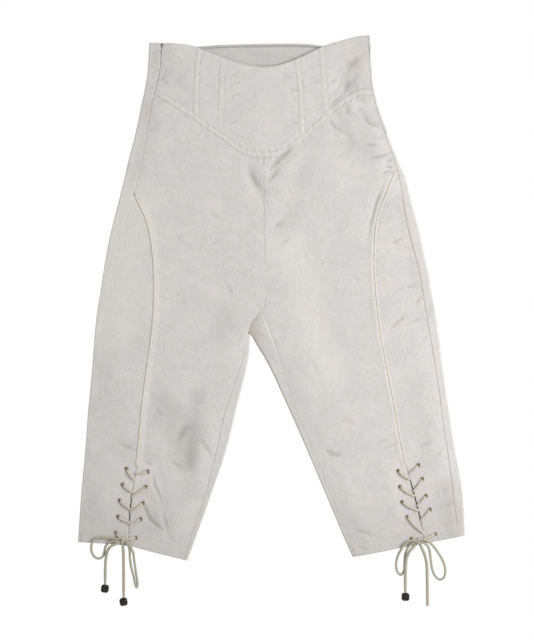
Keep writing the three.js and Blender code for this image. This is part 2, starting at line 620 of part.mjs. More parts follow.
function cutEyelets(panel, places) {
  const radius = EYELET.barrel + SEAM;
  const drillLength = 12;
  const drill = new THREE.CylinderGeometry(radius, radius, drillLength, 10).rotateX(Math.PI / 2);
  const holeAt = ([x, y]) => solidOf(drill.clone().translate(x, y, FOLD_HEIGHT + LOFT / 2));
  return places.reduce((cut, place) => cut.subtract(holeAt(place)), panel);
}

const FLOOR_INSET = FOLD_HEIGHT / 2 + 3; // how far a back's flat part starts inside its folds
function addLegBack(side) {
  const leg = LEG[side];
  const { inward, hem } = leg;
  const { crotch } = PARTING;
  const waistY = BACK_WAIST_Y - SEAM / 2;
  const zip = side === "right";
  const outerBottom = meet(leg.outer, hem, NEAR_HEM_Y);
  const innerBottom = meet(leg.inner, hem, NEAR_HEM_Y);
  // The centre back seam and the crotch curve are the right leg's; the left leg's back keeps clear of them.
  const centre = (y) =>
    LEG.right.inseam(Math.min(y, CENTRE_SEAM_TOP_Y)) + (zip ? -SEAM / 2 : SEAM / 2);
  const innerX = (y) => leg.inner(y) - inward * FLOOR_INSET;
  const outerX = (y) => leg.outer(y) + inward * FLOOR_INSET;
  const downTo = (x, y) => [x, Math.max(y, hem(x))];
  const outline = [
    ...rowHeights(crotch, waistY, [CROTCH_BEND], 60).reverse().map((y) => [centre(y), y]),
    ...rowHeights(innerBottom, crotch - 8, [], 40).reverse().map((y) => downTo(innerX(y), y)),
    ...steps(innerX(innerBottom), outerX(outerBottom), 8).slice(1, -1).map((x) => [x, hem(x)]),
    ...rowHeights(outerBottom, waistY, [], 40).map((y) => downTo(outerX(y), y)),
  ];
  const zipClear = (y) => (zip ? (ZIP_GAP / 2) * ease((y - CURVED_SEAM.right.strip) / 14) : 0);
  const outerFold = foldSolid({
    edge: leg.outer, seam: (y) => leg.side(y) - zipClear(y), inward,
    heights: rowHeights(outerBottom, waistY, [HIP_BEND]), bottom: hem, top: none,
  });
  // The left leg's lip runs up beside the crotch curve, where the right leg's front lies next to it.
  const joined = (y) =>
    THREE.MathUtils.lerp(leg.inner(Math.min(y, crotch)), centre(y), ease((y - crotch) / 10));
  const innerFold = foldSolid({
    edge: zip ? leg.inner : joined, seam: leg.inseam, inward: -inward,
    heights: rowHeights(innerBottom, zip ? crotch - 4 : PARTING.lipTop, [CROTCH_BEND]),
    bottom: hem, top: none,
  });
  add(`leg_back_${side}`, geometryOf(floorSolid(outline).add(outerFold).add(innerFold)), BROCADE);
}

function addWaistBack() {
  const [right, left] = [LEG.right, LEG.left];
  const bottomY = BACK_WAIST_Y + SEAM / 2;
  const topY = { right: frontTop(right.outer(395)), left: frontTop(left.outer(406)) };
  const [xFrom, xTo] = [right.outer(topY.right) + FLOOR_INSET, left.outer(topY.left) - FLOOR_INSET];
  const outline = [
    [right.outer(bottomY) + FLOOR_INSET, bottomY],
    ...steps(bottomY, backTop(xTo), 4).slice(0, -1).map((y) => [left.outer(y) - FLOOR_INSET, y]),
    ...steps(xTo, xFrom, 26).map((x) => [x, backTop(x)]),
    ...steps(backTop(xFrom), bottomY, 4).slice(1, -1).map((y) => [right.outer(y) + FLOOR_INSET, y]),
  ];
  const zipSide = foldSolid({
    edge: right.outer, seam: (y) => right.side(y) - ZIP_GAP / 2 - notchFlare(y), inward: 1,
    heights: [...steps(bottomY, 380, 2), 386, 391, topY.right], bottom: none, top: frontTop,
  });
  const plainSide = foldSolid({
    edge: left.outer, seam: left.side, inward: -1,
    heights: steps(bottomY, topY.left, 4), bottom: none, top: frontTop,
  });
  add("waist_back", geometryOf(floorSolid(outline).add(zipSide).add(plainSide)), BROCADE);
}

function addPiping(side) {
  const leg = LEG[side];
  const points = rowHeights(SLIT_TOP_Y + 4, CURVED_SEAM[side].piping, [HIP_BEND]).map((y) => {
    const x = leg.piped(y);
    return [x, y, frontHeight(x, y) + 0.2];
  });
  add(`piping_${side}`, cordGeometry(smoothPath(points), PIPING_RADIUS, 40, 6), TRIM);
}

const SLIDER_GAP = 0.25;
function addZip() {
  const { side } = LEG.right;
  const coil = rowHeights(ZIP_BOTTOM_Y, ZIP_TOP_Y, [HIP_BEND], 26).map((y) => [-1, 1].map((s) => {
    const x = side(y) + (s * ZIP_WIDTH) / 2;
    const z = frontHeight(x, y);
    return [[x, y, z - 0.4], [x, y, z - CLOTH]];
  }));
  add("side_zip", wallGeometry(coil), TRIM);
  // The slider and its narrow tab lie in the top of the groove: height above the coil, then half width.
  const slider = wallGeometry([[0.4, 1], [7, 1.05], [12, 1.9], [15, 1.6]].map(([up, half]) => {
    const y = ZIP_TOP_Y + up;
    const reach = Math.min(half, ZIP_GAP / 2 - SLIDER_GAP + notchFlare(y));
    const z = frontHeight(side(y), y);
    return [-1, 1].map((s) => [[side(y) + s * reach, y, z + 0.1], [side(y) + s * reach, y, z - CLOTH]]);
  }));
  add("side_zip_slider", slider, NICKEL);
}

function addEyelets(side) {
  const profile = (top) => [
    [EYELET.bore, top - CLOTH - 0.1], [EYELET.barrel, top - CLOTH - 0.1], [EYELET.barrel, top + SEAM],
    [EYELET.flange, top + SEAM], [EYELET.bore + 0.5, top + SEAM + EYELET.rise],
  ];
  for (const row of ["outer", "inner"])
    LACING[side][row].forEach(([x, y], i) => {
      const outline = profile(frontHeight(x, y)).map((p) => new THREE.Vector2(...p));
      const ring = new THREE.LatheGeometry([...outline, outline[0]], 8)
        .rotateX(Math.PI / 2)
        .translate(x, y, 0);
      add(`eyelet_${side}_${row}_${i + 1}`, closedRound(ring), BRONZE);
    });
}
// A lathe's or a ball's seam is closed, and its faces are turned out.
function closedRound(geometry) {
  const bare = geometry.clone();
  bare.deleteAttribute("normal");
  bare.deleteAttribute("uv");
  return facingOut(mergeVertices(bare, 1e-4));
}

// One lace a leg: up through an eyelet, over its own flap, down the slit and under the other flap to the
// next one.
const KNOT_REACH = 7.4; // from the knot's middle to the end of a strand beside it
function lacePath(side) {
  const { outer, inner, outerCross, innerCross, knot } = LACING[side];
  const eyelets = { outer, inner };
  const cross = { outer: outerCross, inner: innerCross };
  const other = { outer: "inner", inner: "outer" };
  const under = CLOTH + (LOFT + FOLD_HEIGHT - 2 * CLOTH) / 2;
  // The strand that starts under one of the top eyelets and ends at the knot.
  const strand = (first) => {
    const points = [];
    let row = first;
    for (let i = 0; i < outer.length; i += 1) {
      const [x, y] = eyelets[row][i];
      const top = frontHeight(x, y);
      points.push([x, y, under], [x, y, top + EYELET.rise + 2 * SEAM + LACE_RADIUS + 0.1]);
      if (i === outer.length - 1) {
        const away = new THREE.Vector2(x - knot[0], y - knot[1]).setLength(KNOT_REACH);
        points.push([knot[0] + away.x, knot[1] + away.y, top + LACE_RADIUS + 3 * SEAM]);
        break;
      }
      const y2 = cross[row][i];
      const x2 = LEG[side].piped(y2);
      points.push([x2, y2, top + SEAM + LACE_RADIUS], [x2, y2, under]);
      row = other[row];
    }
    return points;
  };
  return [...strand("outer").reverse(), ...strand("inner")];
}
function addLace(side) {
  const cornerReach = 2.4;
  const path = new CorneredPath(lacePath(side), cornerReach);
  add(`lace_${side}`, cordGeometry(path, LACE_RADIUS, path.stops.length - 1, 6), LACE);
}

function addBow(side) {
  const [x, y] = LACING[side].knot;
  const z = frontHeight(x, y) + SEAM + KNOT.height / 2;
  const knot = new THREE.SphereGeometry(0.5, 10, 7)
    .scale(KNOT.length, KNOT.width, KNOT.height)
    .translate(x, y, z);
  add(`bow_${side}_knot`, closedRound(knot), LACE);
}

const FREE_STEP = 7.5; // two and a half of the cord's diameters
function addFreeCords() {
  for (const [name, points] of Object.entries(FREE_CORDS)) {
    const path = smoothPath(points);
    add(name, cordGeometry(path, LACE_RADIUS, Math.round(path.getLength() / FREE_STEP)), LACE);
  }
}

function addBeads() {
  const { side, chamfer } = BEAD;
  const flat = side / 2 - chamfer;
  const square = new THREE.Shape([
    [-side / 2, -flat], [-flat, -side / 2], [flat, -side / 2], [side / 2, -flat],
    [side / 2, flat], [flat, side / 2], [-flat, side / 2], [-side / 2, flat],
  ].map(([x, y]) => new THREE.Vector2(x, y)));
  const options = {
    depth: side - 2 * chamfer, bevelEnabled: true, bevelThickness: chamfer, bevelSize: chamfer,
    bevelOffset: -chamfer, bevelSegments: 1,
  };
  for (const [name, { at, turn }] of Object.entries(BEADS)) {
    const bead = new THREE.ExtrudeGeometry(square, options)
      .translate(0, 0, chamfer)
      .rotateZ(THREE.MathUtils.degToRad(turn))
      .translate(at[0], at[1], 0);
    add(name, bead, DARK_BRONZE);
  }
}

addWaistFront();
addWelt();
for (const side of ["right", "left"]) {
  addLegFront(side);
  addLegSide(side);
  addLegBack(side);
  addPiping(side);
  addEyelets(side);
  addLace(side);
  addBow(side);
}
addWaistBack();
addZip();
addFreeCords();
addBeads();

export default pants;
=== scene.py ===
"""Lace-up cropped pants in ivory brocade, laid flat on their back on a white floor.

The tables and the cutting lines are in millimetres, as a pattern maker writes them, and Blender's meshes
are in metres. X runs to the wearer's left, Y up to the waist and Z up out of the front. Sides are the
wearer's, so the right leg lies at negative X.
"""

import logging
import math
from dataclasses import dataclass, field
from enum import Enum
from typing import Callable, Iterable, Sequence

import bmesh
import bpy
import numpy as np
from mathutils import Matrix, Vector


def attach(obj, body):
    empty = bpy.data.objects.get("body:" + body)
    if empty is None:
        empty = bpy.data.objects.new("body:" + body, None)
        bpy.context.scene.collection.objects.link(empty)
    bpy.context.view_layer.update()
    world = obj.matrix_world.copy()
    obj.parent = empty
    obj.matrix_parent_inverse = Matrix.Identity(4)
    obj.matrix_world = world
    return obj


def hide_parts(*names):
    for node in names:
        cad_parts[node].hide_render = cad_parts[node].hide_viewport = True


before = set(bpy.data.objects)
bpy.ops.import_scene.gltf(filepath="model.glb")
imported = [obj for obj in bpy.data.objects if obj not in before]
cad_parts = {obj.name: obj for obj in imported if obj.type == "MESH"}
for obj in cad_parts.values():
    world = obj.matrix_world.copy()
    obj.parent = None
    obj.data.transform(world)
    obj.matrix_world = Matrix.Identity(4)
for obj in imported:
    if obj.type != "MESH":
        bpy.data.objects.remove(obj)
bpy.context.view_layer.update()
log = logging.getLogger("pants")

Array = np.ndarray
Piece = bpy.types.Object
Socket = bpy.types.NodeSocket
BMesh = bmesh.types.BMesh
Colour = tuple[float, float, float]  # from 0 to 255, as on a screen
MM = 0.001
Line = Callable[[Array], Array]
Points = Sequence[Sequence[float]]

# ---- Driving dimensions, in millimetres ----
CLOTH = 1.0  # thickness of the brocade
FOLD_HEIGHT = 4.1  # top of the cloth where it turns round a side fold
LOFT = 2.7  # how much higher the front lies between the folds
LOFT_REACH = 40.0
WELT_WIDTH = 8.0
CHANNEL_WIDTH = 9.0
PIPING_RADIUS = 2.1
PIPING_SINK = 0.95  # how far its middle lies below the cloth beside it
LACE_RADIUS = 1.8  # the bow knot's cord
LOOP_RADIUS = 1.95
END_RADIUS = 2.35
EDGE_ROW_DROP = 3.4  # from the back's top edge down to its stitches
WELD = 2e-5  # in metres: points of one sheet that are closer become one
SLIT_TOP_Y = -262.0
CENTRE_SEAM_TOP_Y = 213.0
BACK_WAIST_Y = 324.0
ZIP_TOP_Y = 376.0
ZIP_BOTTOM_Y = 166.0
NOTCH_TOP_Y = 395.0
NOTCH_DEPTH = 12.0
NOTCH_FLARE = 2.4
CROTCH_Y = -55.8
CROTCH_X = -32.8
CROTCH_BEND_Y = -6.0  # where the centre seam ends and the legs' own edges start
LIP_TOP_Y = -3.0
NO = math.nan  # the line doesn't reach this height


class Side(Enum):
    """The wearer's side that a leg is on."""

    RIGHT = "right"
    LEFT = "left"

    @property
    def inward(self) -> int:
        """The sign of X towards the middle of the garment."""
        return 1 if self is Side.RIGHT else -1


# A row for each height y, and in it the x of each line that runs down the leg.
LEG_COLUMNS = ("y", "outer", "side", "piped", "inseam", "inner")
LEG_ROWS = {
    Side.RIGHT: (
        (395.4, -189.4, -169.7, NO, NO, NO), (353, -191.9, -173.3, NO, NO, NO),
        (325.5, -195.8, -179, NO, NO, NO), (297.6, -201.9, -186, NO, NO, NO),
        (269.7, -207.5, -190.9, NO, NO, NO), (241.8, -214, -195.9, NO, NO, NO),
        (213.9, -221.5, -201.3, NO, -12.5, NO), (189.1, -227, -205.8, NO, -12.5, NO),
        (161.5, -233.8, -213.3, -212, -12.3, NO), (142.6, -238.7, -218.2, -203.2, -12.2, NO),
        (120.9, -244.2, -225.5, -193.7, -12, NO), (96.1, -250.3, -235.6, -187.4, -11.6, NO),
        (68.2, -255.7, -247.3, -183.6, -11.2, NO), (40.3, -260.3, -256.1, -181.6, -10.5, NO),
        (10.8, -264.8, -261.2, -181.2, -9.9, NO), (-4.7, -267.4, -263.5, -181.5, -9.8, NO),
        (-12.4, -268.7, -264.7, -181.8, -12.2, NO), (-21.7, -270.1, -266, -182.3, -18.4, NO),
        (-31, -271.3, -267.2, -182.8, -25.6, NO), (-40.3, -272.3, -268.3, -183.6, -31.9, NO),
        (-49.6, -273.3, -269.2, -184.5, -35.2, NO), (-55.8, -273.8, -269.8, -185.2, -36.4, -33.3),
        (-72.9, -275.2, -271.2, -187.3, -39.6, -33.9), (-91.5, -276.5, -272.5, -190, -44, -35.4),
        (-114.7, -278.4, -274.4, -193.3, -51.3, -40.2), (-142.6, -281, -277.1, -197.1, -60.4, -47),
        (-178.2, -284.4, -280.4, -201.3, -72.6, -56.1), (-221.7, -287.4, -283.4, -205.1, -82.3, -66.3),
        (-260.4, -290.8, -286.8, -209.3, -90.9, -78), (-297.6, -294.4, -290.4, -215, -101, -91),
        (-336.4, -297.1, -293.1, -219.5, -113.3, -104.6), (-375.1, -299.6, -295.2, -221, -126.6, -118.6),
        (-406.1, -300.7, -296.3, -221.4, -136, -130.1),
    ),
    Side.LEFT: (
        (406.9, 153, 149.7, NO, NO, NO), (376.7, 154.2, 151, NO, NO, NO),
        (342.6, 156.4, 153, NO, NO, NO), (325.5, 158.4, 155, NO, NO, NO),
        (297.6, 165, 161.5, NO, NO, NO), (269.7, 174.9, 170.6, NO, NO, NO),
        (241.8, 184.6, 179.4, NO, NO, NO), (213.9, 195.5, 189.7, NO, -11.8, NO),
        (198.4, 202.2, 194.1, 193, -11.7, NO), (182.9, 208.5, 198.4, 186.5, -11.7, NO),
        (161.5, 213.7, 202, 178.6, -11.5, NO), (142.6, 218.7, 204.5, 170.6, -11.4, NO),
        (120.9, 224.6, 208.4, 164, -11.2, NO), (96.1, 230.7, 214.1, 160.8, -10.9, NO),
        (68.2, 236.6, 221.5, 159.9, -10.4, NO), (40.3, 243.2, 228.5, 159.9, -9.7, NO),
        (10.8, 247.8, 233.8, 161.9, -9.1, NO), (-4.7, 250.8, 236.3, 163.3, -9, NO),
        (-12.4, 252.3, 237.6, 164.1, -10.4, NO), (-21.7, 253.9, 239.2, 165.1, -13, NO),
        (-31, 255.4, 240.8, 166.2, -11.4, NO), (-40.3, 256.8, 242.4, 167.3, -7.9, NO),
        (-49.6, 258.1, 244, 168.5, -3.4, NO), (-55.8, 258.9, 245.1, 169.4, -0.9, -32.4),
        (-72.9, 261.1, 248, 172.3, 5.3, -22.9), (-91.5, 263.4, 251.2, 175.9, 11.3, -11.2),
        (-114.7, 266.2, 255, 180.4, 18.4, 1), (-142.6, 270.3, 258.9, 185.8, 27.2, 13.8),
        (-178.2, 275.7, 263.7, 192.5, 39.5, 29.8), (-221.7, 282, 269.9, 200.4, 57.3, 49.2),
        (-260.4, 289.4, 275.4, 209, 73.2, 65.6), (-297.6, 295.4, 280.4, 219, 88.4, 81.4),
        (-336.4, 298.1, 285.3, 228.8, 104.5, 97.7), (-367.4, 299.7, 288.9, 235.4, 117.2, 110.7),
        (-401.4, 300.7, 292.7, 238, 130.4, 125.9),
    ),
}

# Lines that run across the garment: a row for each point, x then y.
FRONT_TOP = (
    (-189.4, 395.4), (-150.2, 394.3), (-122.5, 390.8), (-103.1, 382.9), (-80.9, 374.2),
    (-53.5, 364.7), (-25.6, 358.7), (-6.2, 358.1), (16, 362.2), (43.6, 372.9), (71.3, 386.1),
    (85.1, 391.8), (112.8, 399.9), (134.1, 405.2), (153, 406.9),
)
BACK_TOP = (
    (-189.4, 395.4), (-169.7, 394.9), (-150.2, 393.2), (-132.5, 390), (-114.1, 389.7),
    (-80.9, 391.8), (-25.6, 393.4), (29.8, 394), (62.8, 392.8), (85.1, 390.6), (112.8, 398),
    (134.1, 403.6), (153, 406.9),
)
WELT_UPPER = (
    (-187, 327.1), (-177.8, 321.6), (-150.2, 304.9), (-122.5, 286.9), (-100.3, 270.3),
    (-75.3, 253.7), (-53.5, 237.2), (-36.6, 228.5), (-14, 225.7), (10.1, 227.5), (24, 234.1),
    (46.3, 251.1), (71.3, 273.1), (90.7, 292.5), (112.8, 309.1), (132.2, 320.2), (144.9, 323),
    (157.2, 321.6), (166, 319),
)
HEM = {
    Side.RIGHT: (
        (-303, -377.7), (-273.6, -379.4), (-246.5, -381), (-217.8, -384.7), (-183.4, -393.4),
        (-157.3, -399.9), (-140.3, -404.2), (-130, -407),
    ),
    Side.LEFT: (
        (125.7, -401.1), (137.2, -399.3), (173.1, -392.2), (216.2, -383.6), (262.1, -375.1),
        (284.4, -370.8), (303, -367.5),
    ),
}
CURVED_SEAM_TOP_Y = {Side.RIGHT: 161.0, Side.LEFT: 197.0}

# The middle line of each boning channel, x then y, and whether a groove runs down its middle.
CHANNELS = {
    "right_outer": (((-110.5, 388), (-114.9, 350.3), (-116.4, 281)), False),
    "right_inner": (((-73.6, 373), (-77.2, 322.4), (-78.6, 254)), True),
    "left_inner": (((40.1, 373), (45, 320.2), (48.2, 251)), False),
    "left_outer": (((77.8, 391), (81.5, 334), (84.9, 285)), True),
}

# Soft folds and creases: half width, depth, then x and y of each point along it.
FOLDS = (
    (15, 1.3, 50, 248, 24, 221, 0, 198), (26, 1.2, 62, 258, 38, 180, 4, 92),
    (18, 1.0, -34, 200, -16, 160), (20, 1.2, 104, 340, 136, 300), (18, 1.0, 166, 160, 150, 96),
    (12, 0.8, -176, -262, -158, -372), (22, 0.9, -186, -150, -120, -206, -96, -250),
    (12, 1.0, 148, 386, 126, 358, 106, 334, 94, 312), (7, 0.8, 130, 346, 118, 328, 102, 308, 92, 294),
    (11, 0.9, 96, 286, 112, 262, 122, 240), (9, 0.8, 134, 292, 152, 276, 172, 258),
)
CREASES = (
    # below the pointed waist seam
    (5.5, 1.35, 42, 246, 18, 219, -7, 193), (6, 1.1, -36, 202, -25, 180, -15, 163),
    (5, 0.9, 1, 108, 21, 117), (5, 0.9, 10, 80, 30, 94), (3.4, 0.5, 49, 72, 54, 55),
    (4, 0.7, -70, 26, -61, 2), (3, 0.7, -229, 179, -216, 184), (4, 0.6, -150, 96, -134, 84),
    (5, 0.5, -96, 140, -80, 118),
    # the wearer's left hip and thigh
    (3, 1.2, 148, 219, 160, 217, 172, 219, 189, 225), (2.6, 1.2, 174, 210, 191, 215),
    (2.6, 1.2, 173, 204, 189, 201), (2.6, 1.1, 166, 191, 178, 195, 190, 195),
    (4.5, 0.9, 180, -51, 196, -38, 212, -23), (3, 0.8, 221, -12, 234, 7), (3, 0.8, 228, -70, 243, -60),
    (4.5, 1.0, 14, 203, 2, 187, -9, 174), (4.5, 1.0, 84, 282, 99, 264, 118, 253),
    (5, 1.1, 138, 287, 151, 271, 169, 263), (5, 0.9, 113, 303, 118, 292, 120, 280),
    (3, 0.7, 127, 305, 142, 308, 157, 307), (3.5, 0.9, 140, 240, 154, 236, 168, 236),
    (3, 0.7, 150, 250, 166, 246, 178, 249), (3, 1.4, 175, 179, 163, 149, 154, 114, 150, 95),
    (4, 0.9, 183, 83, 206, 93), (4, 0.8, 205, 15, 227, 20), (3, 0.6, 214, -40, 230, -31),
    (4, 0.6, 120, 40, 138, 22),
    # the waist
    (8, 1.1, 139, 377, 126, 362, 112, 349), (5, 1.0, 123, 337, 117, 328, 111, 318),
    (3.4, 0.9, 100, 342, 96, 335, 92, 328), (3, 0.9, 86, 292, 96, 303, 106, 313),
    (2.8, 0.8, 11, 347, 35, 338), (2.8, 0.8, 23, 325, 45, 319), (2.6, 0.7, 28, 308, 40, 305),
    (2.4, 0.8, 27, 272, 42, 270), (2.4, 0.7, 52, 356, 75, 358), (2.4, 0.7, 54, 342, 73, 340),
    (2.4, 0.7, 54, 332, 74, 334), (1.5, 0.6, 52, 294, 83, 291), (1.5, 0.6, 52, 290, 83, 287),
    (2.6, 0.7, -110, 353, -95, 356), (2.6, 0.6, -106, 330, -92, 327), (2.6, 0.8, -67, 342, -49, 349),
    (2.6, 0.8, -66, 330, -42, 335), (2.6, 0.7, -66, 311, -48, 315), (2.6, 0.8, -72, 269, -48, 273),
    (2.6, 0.7, -64, 251, -38, 249), (2.4, 0.7, -188, 379, -177, 381), (2.4, 0.7, -188, 368, -176, 364),
    (2.4, 0.7, -187, 357, -176, 352), (3, 0.8, -180, 336, -168, 338, -158, 328),
    (2.6, 0.7, -182, 310, -168, 315), (2.6, 0.7, -182, 302, -164, 305), (2.6, 0.5, 6, 316, 22, 312),
    (2.6, 0.5, -10, 262, 8, 259),
    # the right leg
    (2.6, 0.9, -198, -253, -183, -260), (3.6, 1.1, -183, -266, -181, -288, -172, -308, -170, -322),
    (3.8, 0.9, -170, -324, -165, -344, -158, -365),
    (4, 1.2, -207, -308, -196, -323, -187, -343, -172, -356, -159, -365),
    (3.2, 0.8, -181, -170, -169, -183), (3.6, 1.0, -239, -223, -224, -230, -209, -236),
    (8, 1.0, -147, -229, -134, -203, -117, -194), (5, 0.9, -112, -216, -100, -232, -91, -248),
    (2.6, 0.7, -86, -192, -72, -187), (4, 0.8, -158, -253, -139, -263), (3, 0.6, -106, -173, -91, -180),
    (4, 0.5, -262, -130, -250, -158), (3, 0.5, -255, -300, -240, -312),
    # the left leg
    (3, 0.8, 156, -223, 172, -221, 186, -217), (3.4, 0.9, 168, -235, 184, -230, 197, -223),
    (2.6, 0.7, 175, -244, 199, -235), (6, 1.1, 80, -232, 95, -242, 114, -245),
    (6, 0.7, 100, -187, 133, -196), (4.5, 0.9, 125, -358, 141, -363, 160, -367),
    (3.6, 0.6, 130, -384, 152, -392), (4, 0.7, 249, -251, 265, -236), (5, 0.7, 226, -234, 248, -221),
    (3.5, 0.9, 266, -326, 286, -312), (4, 0.6, 263, -303, 274, -295),
    (2, 0.7, 253, -352, 272, -349, 292, -346), (4, 0.6, 118, -168, 134, -150),
    (5, 0.6, 60, -96, 74, -120),
)
# Creases of the backs, which lie on the floor: each is raised off it.
BACK_CREASES = (
    (14, 0.6, -150, 250, -60, 214), (12, 0.6, 60, 240, 150, 200), (16, 0.7, -90, 120, -40, 40),
    (16, 0.7, 40, 110, 90, 30), (10, 0.6, -210, -60, -150, -90), (11, 0.6, 190, -40, 130, -80),
    (8, 0.5, -250, -250, -190, -230), (8, 0.5, 240, -240, 180, -215), (7, 0.5, -160, -320, -130, -350),
    (8, 0.6, -60, 362, 40, 352), (5, 0.5, -30, 378, 60, 372), (9, 0.6, 120, 330, 60, 250),
    (7, 0.5, -120, -180, -180, -210), (7, 0.5, 120, -190, 170, -170),
)
LEAN = (0.91, -0.41)  # the direction that creases lean in
# Broad strokes of painted shade on the front, and below 0 of painted highlight: half width, strength,
# then x and y of each point along the stroke.
PAINTED_SHADE_STROKES = (
    (34, 0.7, 138, 398, 132, 350, 128, 324), (24, 0.4, 142, 286, 150, 262, 156, 222),
    (36, 0.28, -168, 374, -142, 338), (58, -0.9, -214, 150, -232, 90, -242, 20, -244, -40),
    (42, -0.7, 30, 80, 50, 20, 58, -30, 78, -85, 96, -118),
    (36, 0.62, -168, -165, -148, -200, -134, -242), (24, 0.4, -128, -266, -120, -305),
    (18, 0.4, 198, 150, 209, 95, 223, 40, 230, -30), (22, 0.6, 268, -290, 280, -375),
    (20, -0.4, 190, -275, 200, -330), (24, 0.28, -78, -20, -56, -45), (16, 0.4, -192, 300, -196, 282),
    (22, 0.55, -112, -150, -116, -200, -122, -245), (22, 0.28, -70, -110, -80, -160),
    (24, 0.38, -186, -300, -178, -350), (30, 0.3, -240, -228, -190, -240),
    (14, 0.4, -30, 196, -14, 164), (26, 0.35, 108, 300, 112, 262, 122, 236),
    (14, 0.4, -122, -205, -124, -262), (26, 0.3, -66, -20, -74, -60), (26, -0.25, -158, 40, -160, -20),
    (30, 0.22, 232, -130, 246, -250),
)

# Eyelets of each leg from the top down, x then y, and the heights where the strand from each one
# crosses the slit. The lowest pair's strands go to the bow knot.
EYELETS = {
    Side.RIGHT: {
        "outer": ((-224.4, -264.4), (-230.3, -288.9), (-235.1, -313.3), (-237.5, -338.5), (-240.7, -363.6)),
        "inner": ((-191.6, -268.6), (-194.8, -292.3), (-198.7, -317.4), (-202.4, -342.2), (-209.9, -371.5)),
    },
    Side.LEFT: {
        "outer": ((227.5, -258.7), (233.3, -280.1), (238.9, -306.1), (245.2, -327.5), (253.6, -365.2)),
        "inner": ((195.9, -267.8), (199, -292.3), (202.1, -316), (210, -339), (216.4, -372.3)),
    },
}
CROSSINGS = {
    Side.RIGHT: {"outer": (-282, -300.5, -327, -347.5), "inner": (-272, -307, -331.6, -351)},
    Side.LEFT: {"outer": (-272, -299, -321.5, -344), "inner": (-280.8, -306, -328.6, -364)},
}
KNOTS = {Side.RIGHT: (-231.5, -374.5), Side.LEFT: (228.3, -376.2)}
# Half the width of the open slit, at heights down it.
SLIT_HALF = {
    Side.RIGHT: (
        (-420, 0.2), (-380, 0.25), (-352, 0.4), (-340, 0.95), (-315, 1.0), (-302, 0.45), (-280, 0.2),
        (-262, 0.15),
    ),
    Side.LEFT: (
        (-420, 0.2), (-380, 0.25), (-352, 0.35), (-342, 1.0), (-315, 1.1), (-288, 1.0), (-277, 0.4),
        (-262, 0.3),
    ),
}

# Free stretches of the laces: x, y and z of the cord's middle, each from the knot outwards.
FREE_CORDS = {
    "bow_right_loop_outer": (
        (-238.3, -373.4, 12.4), (-245, -371.8, 10.7), (-256, -371, 9.4), (-267, -370.8, 9),
        (-274.4, -373.2, 8.6), (-278, -380, 7), (-279.2, -387.2, 3.2), (-278, -394.6, 1.9),
        (-274, -401, 1.9), (-267.6, -403.6, 1.9), (-262, -401, 1.9), (-259, -394.4, 2.6),
        (-257.6, -387, 6.8), (-254, -380.6, 8.9), (-246.4, -376.4, 9.9), (-238.4, -376.4, 11.2),
    ),
    "bow_right_loop_inner": (
        (-224.8, -378.4, 12.4), (-221.4, -383, 10.6), (-219.6, -389, 8.3), (-219.4, -396, 3.6),
        (-219.2, -403, 1.9), (-217.6, -415, 1.9), (-213.6, -431, 1.9), (-210.9, -443.6, 1.9),
        (-208.9, -448.6, 1.9), (-207.4, -443.6, 1.9), (-209, -431, 2.2), (-211.4, -415, 1.9),
        (-213, -403, 1.9), (-213.6, -396.6, 3.6), (-215.4, -390.4, 8.3), (-218, -385, 10.4),
        (-221, -378.8, 12), (-224.8, -374.6, 12.5),
    ),
    "bow_right_end_outer": (
        (-236, -378.6, 10.4), (-242.6, -381, 10.6), (-248.6, -384.4, 10.8), (-252.6, -389.6, 8.4),
        (-255.2, -396.6, 5), (-256.6, -404.8, 2.4), (-257.3, -416, 1.9), (-257.6, -430, 1.9),
        (-257.7, -446.4, 1.9),
    ),
    "bow_right_end_inner": (
        (-230, -380, 9.4), (-229.6, -387, 8.2), (-229.3, -393.6, 3.4), (-229.2, -401, 1.9),
        (-229.1, -420, 1.9), (-228.9, -441, 1.9), (-229, -467, 1.9),
    ),
    "bow_left_loop_inner": (
        (221.6, -374.8, 12.4), (214.5, -375.8, 11.6), (206, -380.4, 9.8), (201.2, -388.2, 8.2),
        (197.4, -395.4, 4), (194.6, -403.4, 1.9), (193.2, -413, 1.9), (194.8, -423.4, 1.9),
        (200.4, -428.8, 1.9), (205, -423.4, 1.9), (206.2, -410, 1.9), (206.8, -399, 2.6),
        (208.6, -391.2, 7.0), (211.8, -385, 8.6), (216, -380.9, 10.2), (221.2, -379, 11.2),
    ),
    "bow_left_loop_outer": (
        (235.2, -378.6, 11.6), (240.6, -382.4, 9.7), (243.9, -388.4, 6.6), (245.4, -395, 2.6),
        (246.6, -404, 1.9), (248.6, -418, 1.9), (253.2, -430, 1.9), (260.5, -436.2, 1.9),
        (267.2, -433, 1.9), (269.4, -423, 1.9), (266.4, -409, 1.9), (259.8, -397, 2.2),
        (254, -388.6, 5), (248.4, -381.6, 8.4), (242.4, -376.6, 10.2), (235.4, -374, 12.4),
    ),
    "bow_left_end_inner": (
        (223.4, -381, 9.4), (217.4, -387.4, 9), (212.4, -394.2, 8), (209.4, -401.6, 7),
        (207.9, -412, 6.4), (207.4, -424, 5.4), (207.3, -440, 2.4), (207.3, -459.2, 1.9),
    ),
    "bow_left_end_outer": (
        (230, -381.8, 9.4), (232.6, -387.4, 8.2), (235.8, -394, 3.8), (238.4, -401.6, 1.9),
        (240.4, -412, 1.9), (241.2, -430, 1.9), (241.6, -453, 1.9), (241.7, -476, 1.9),
    ),
}
# The cord's end that each bead is on, the bead's middle and its turn in degrees.
BEADS = {
    "bow_right_end_outer": ("bead_right_outer", (-257.8, -449.8), -7),
    "bow_right_end_inner": ("bead_right_inner", (-229, -470.2), 9),
    "bow_left_end_inner": ("bead_left_inner", (207.3, -462.5), 0),
}


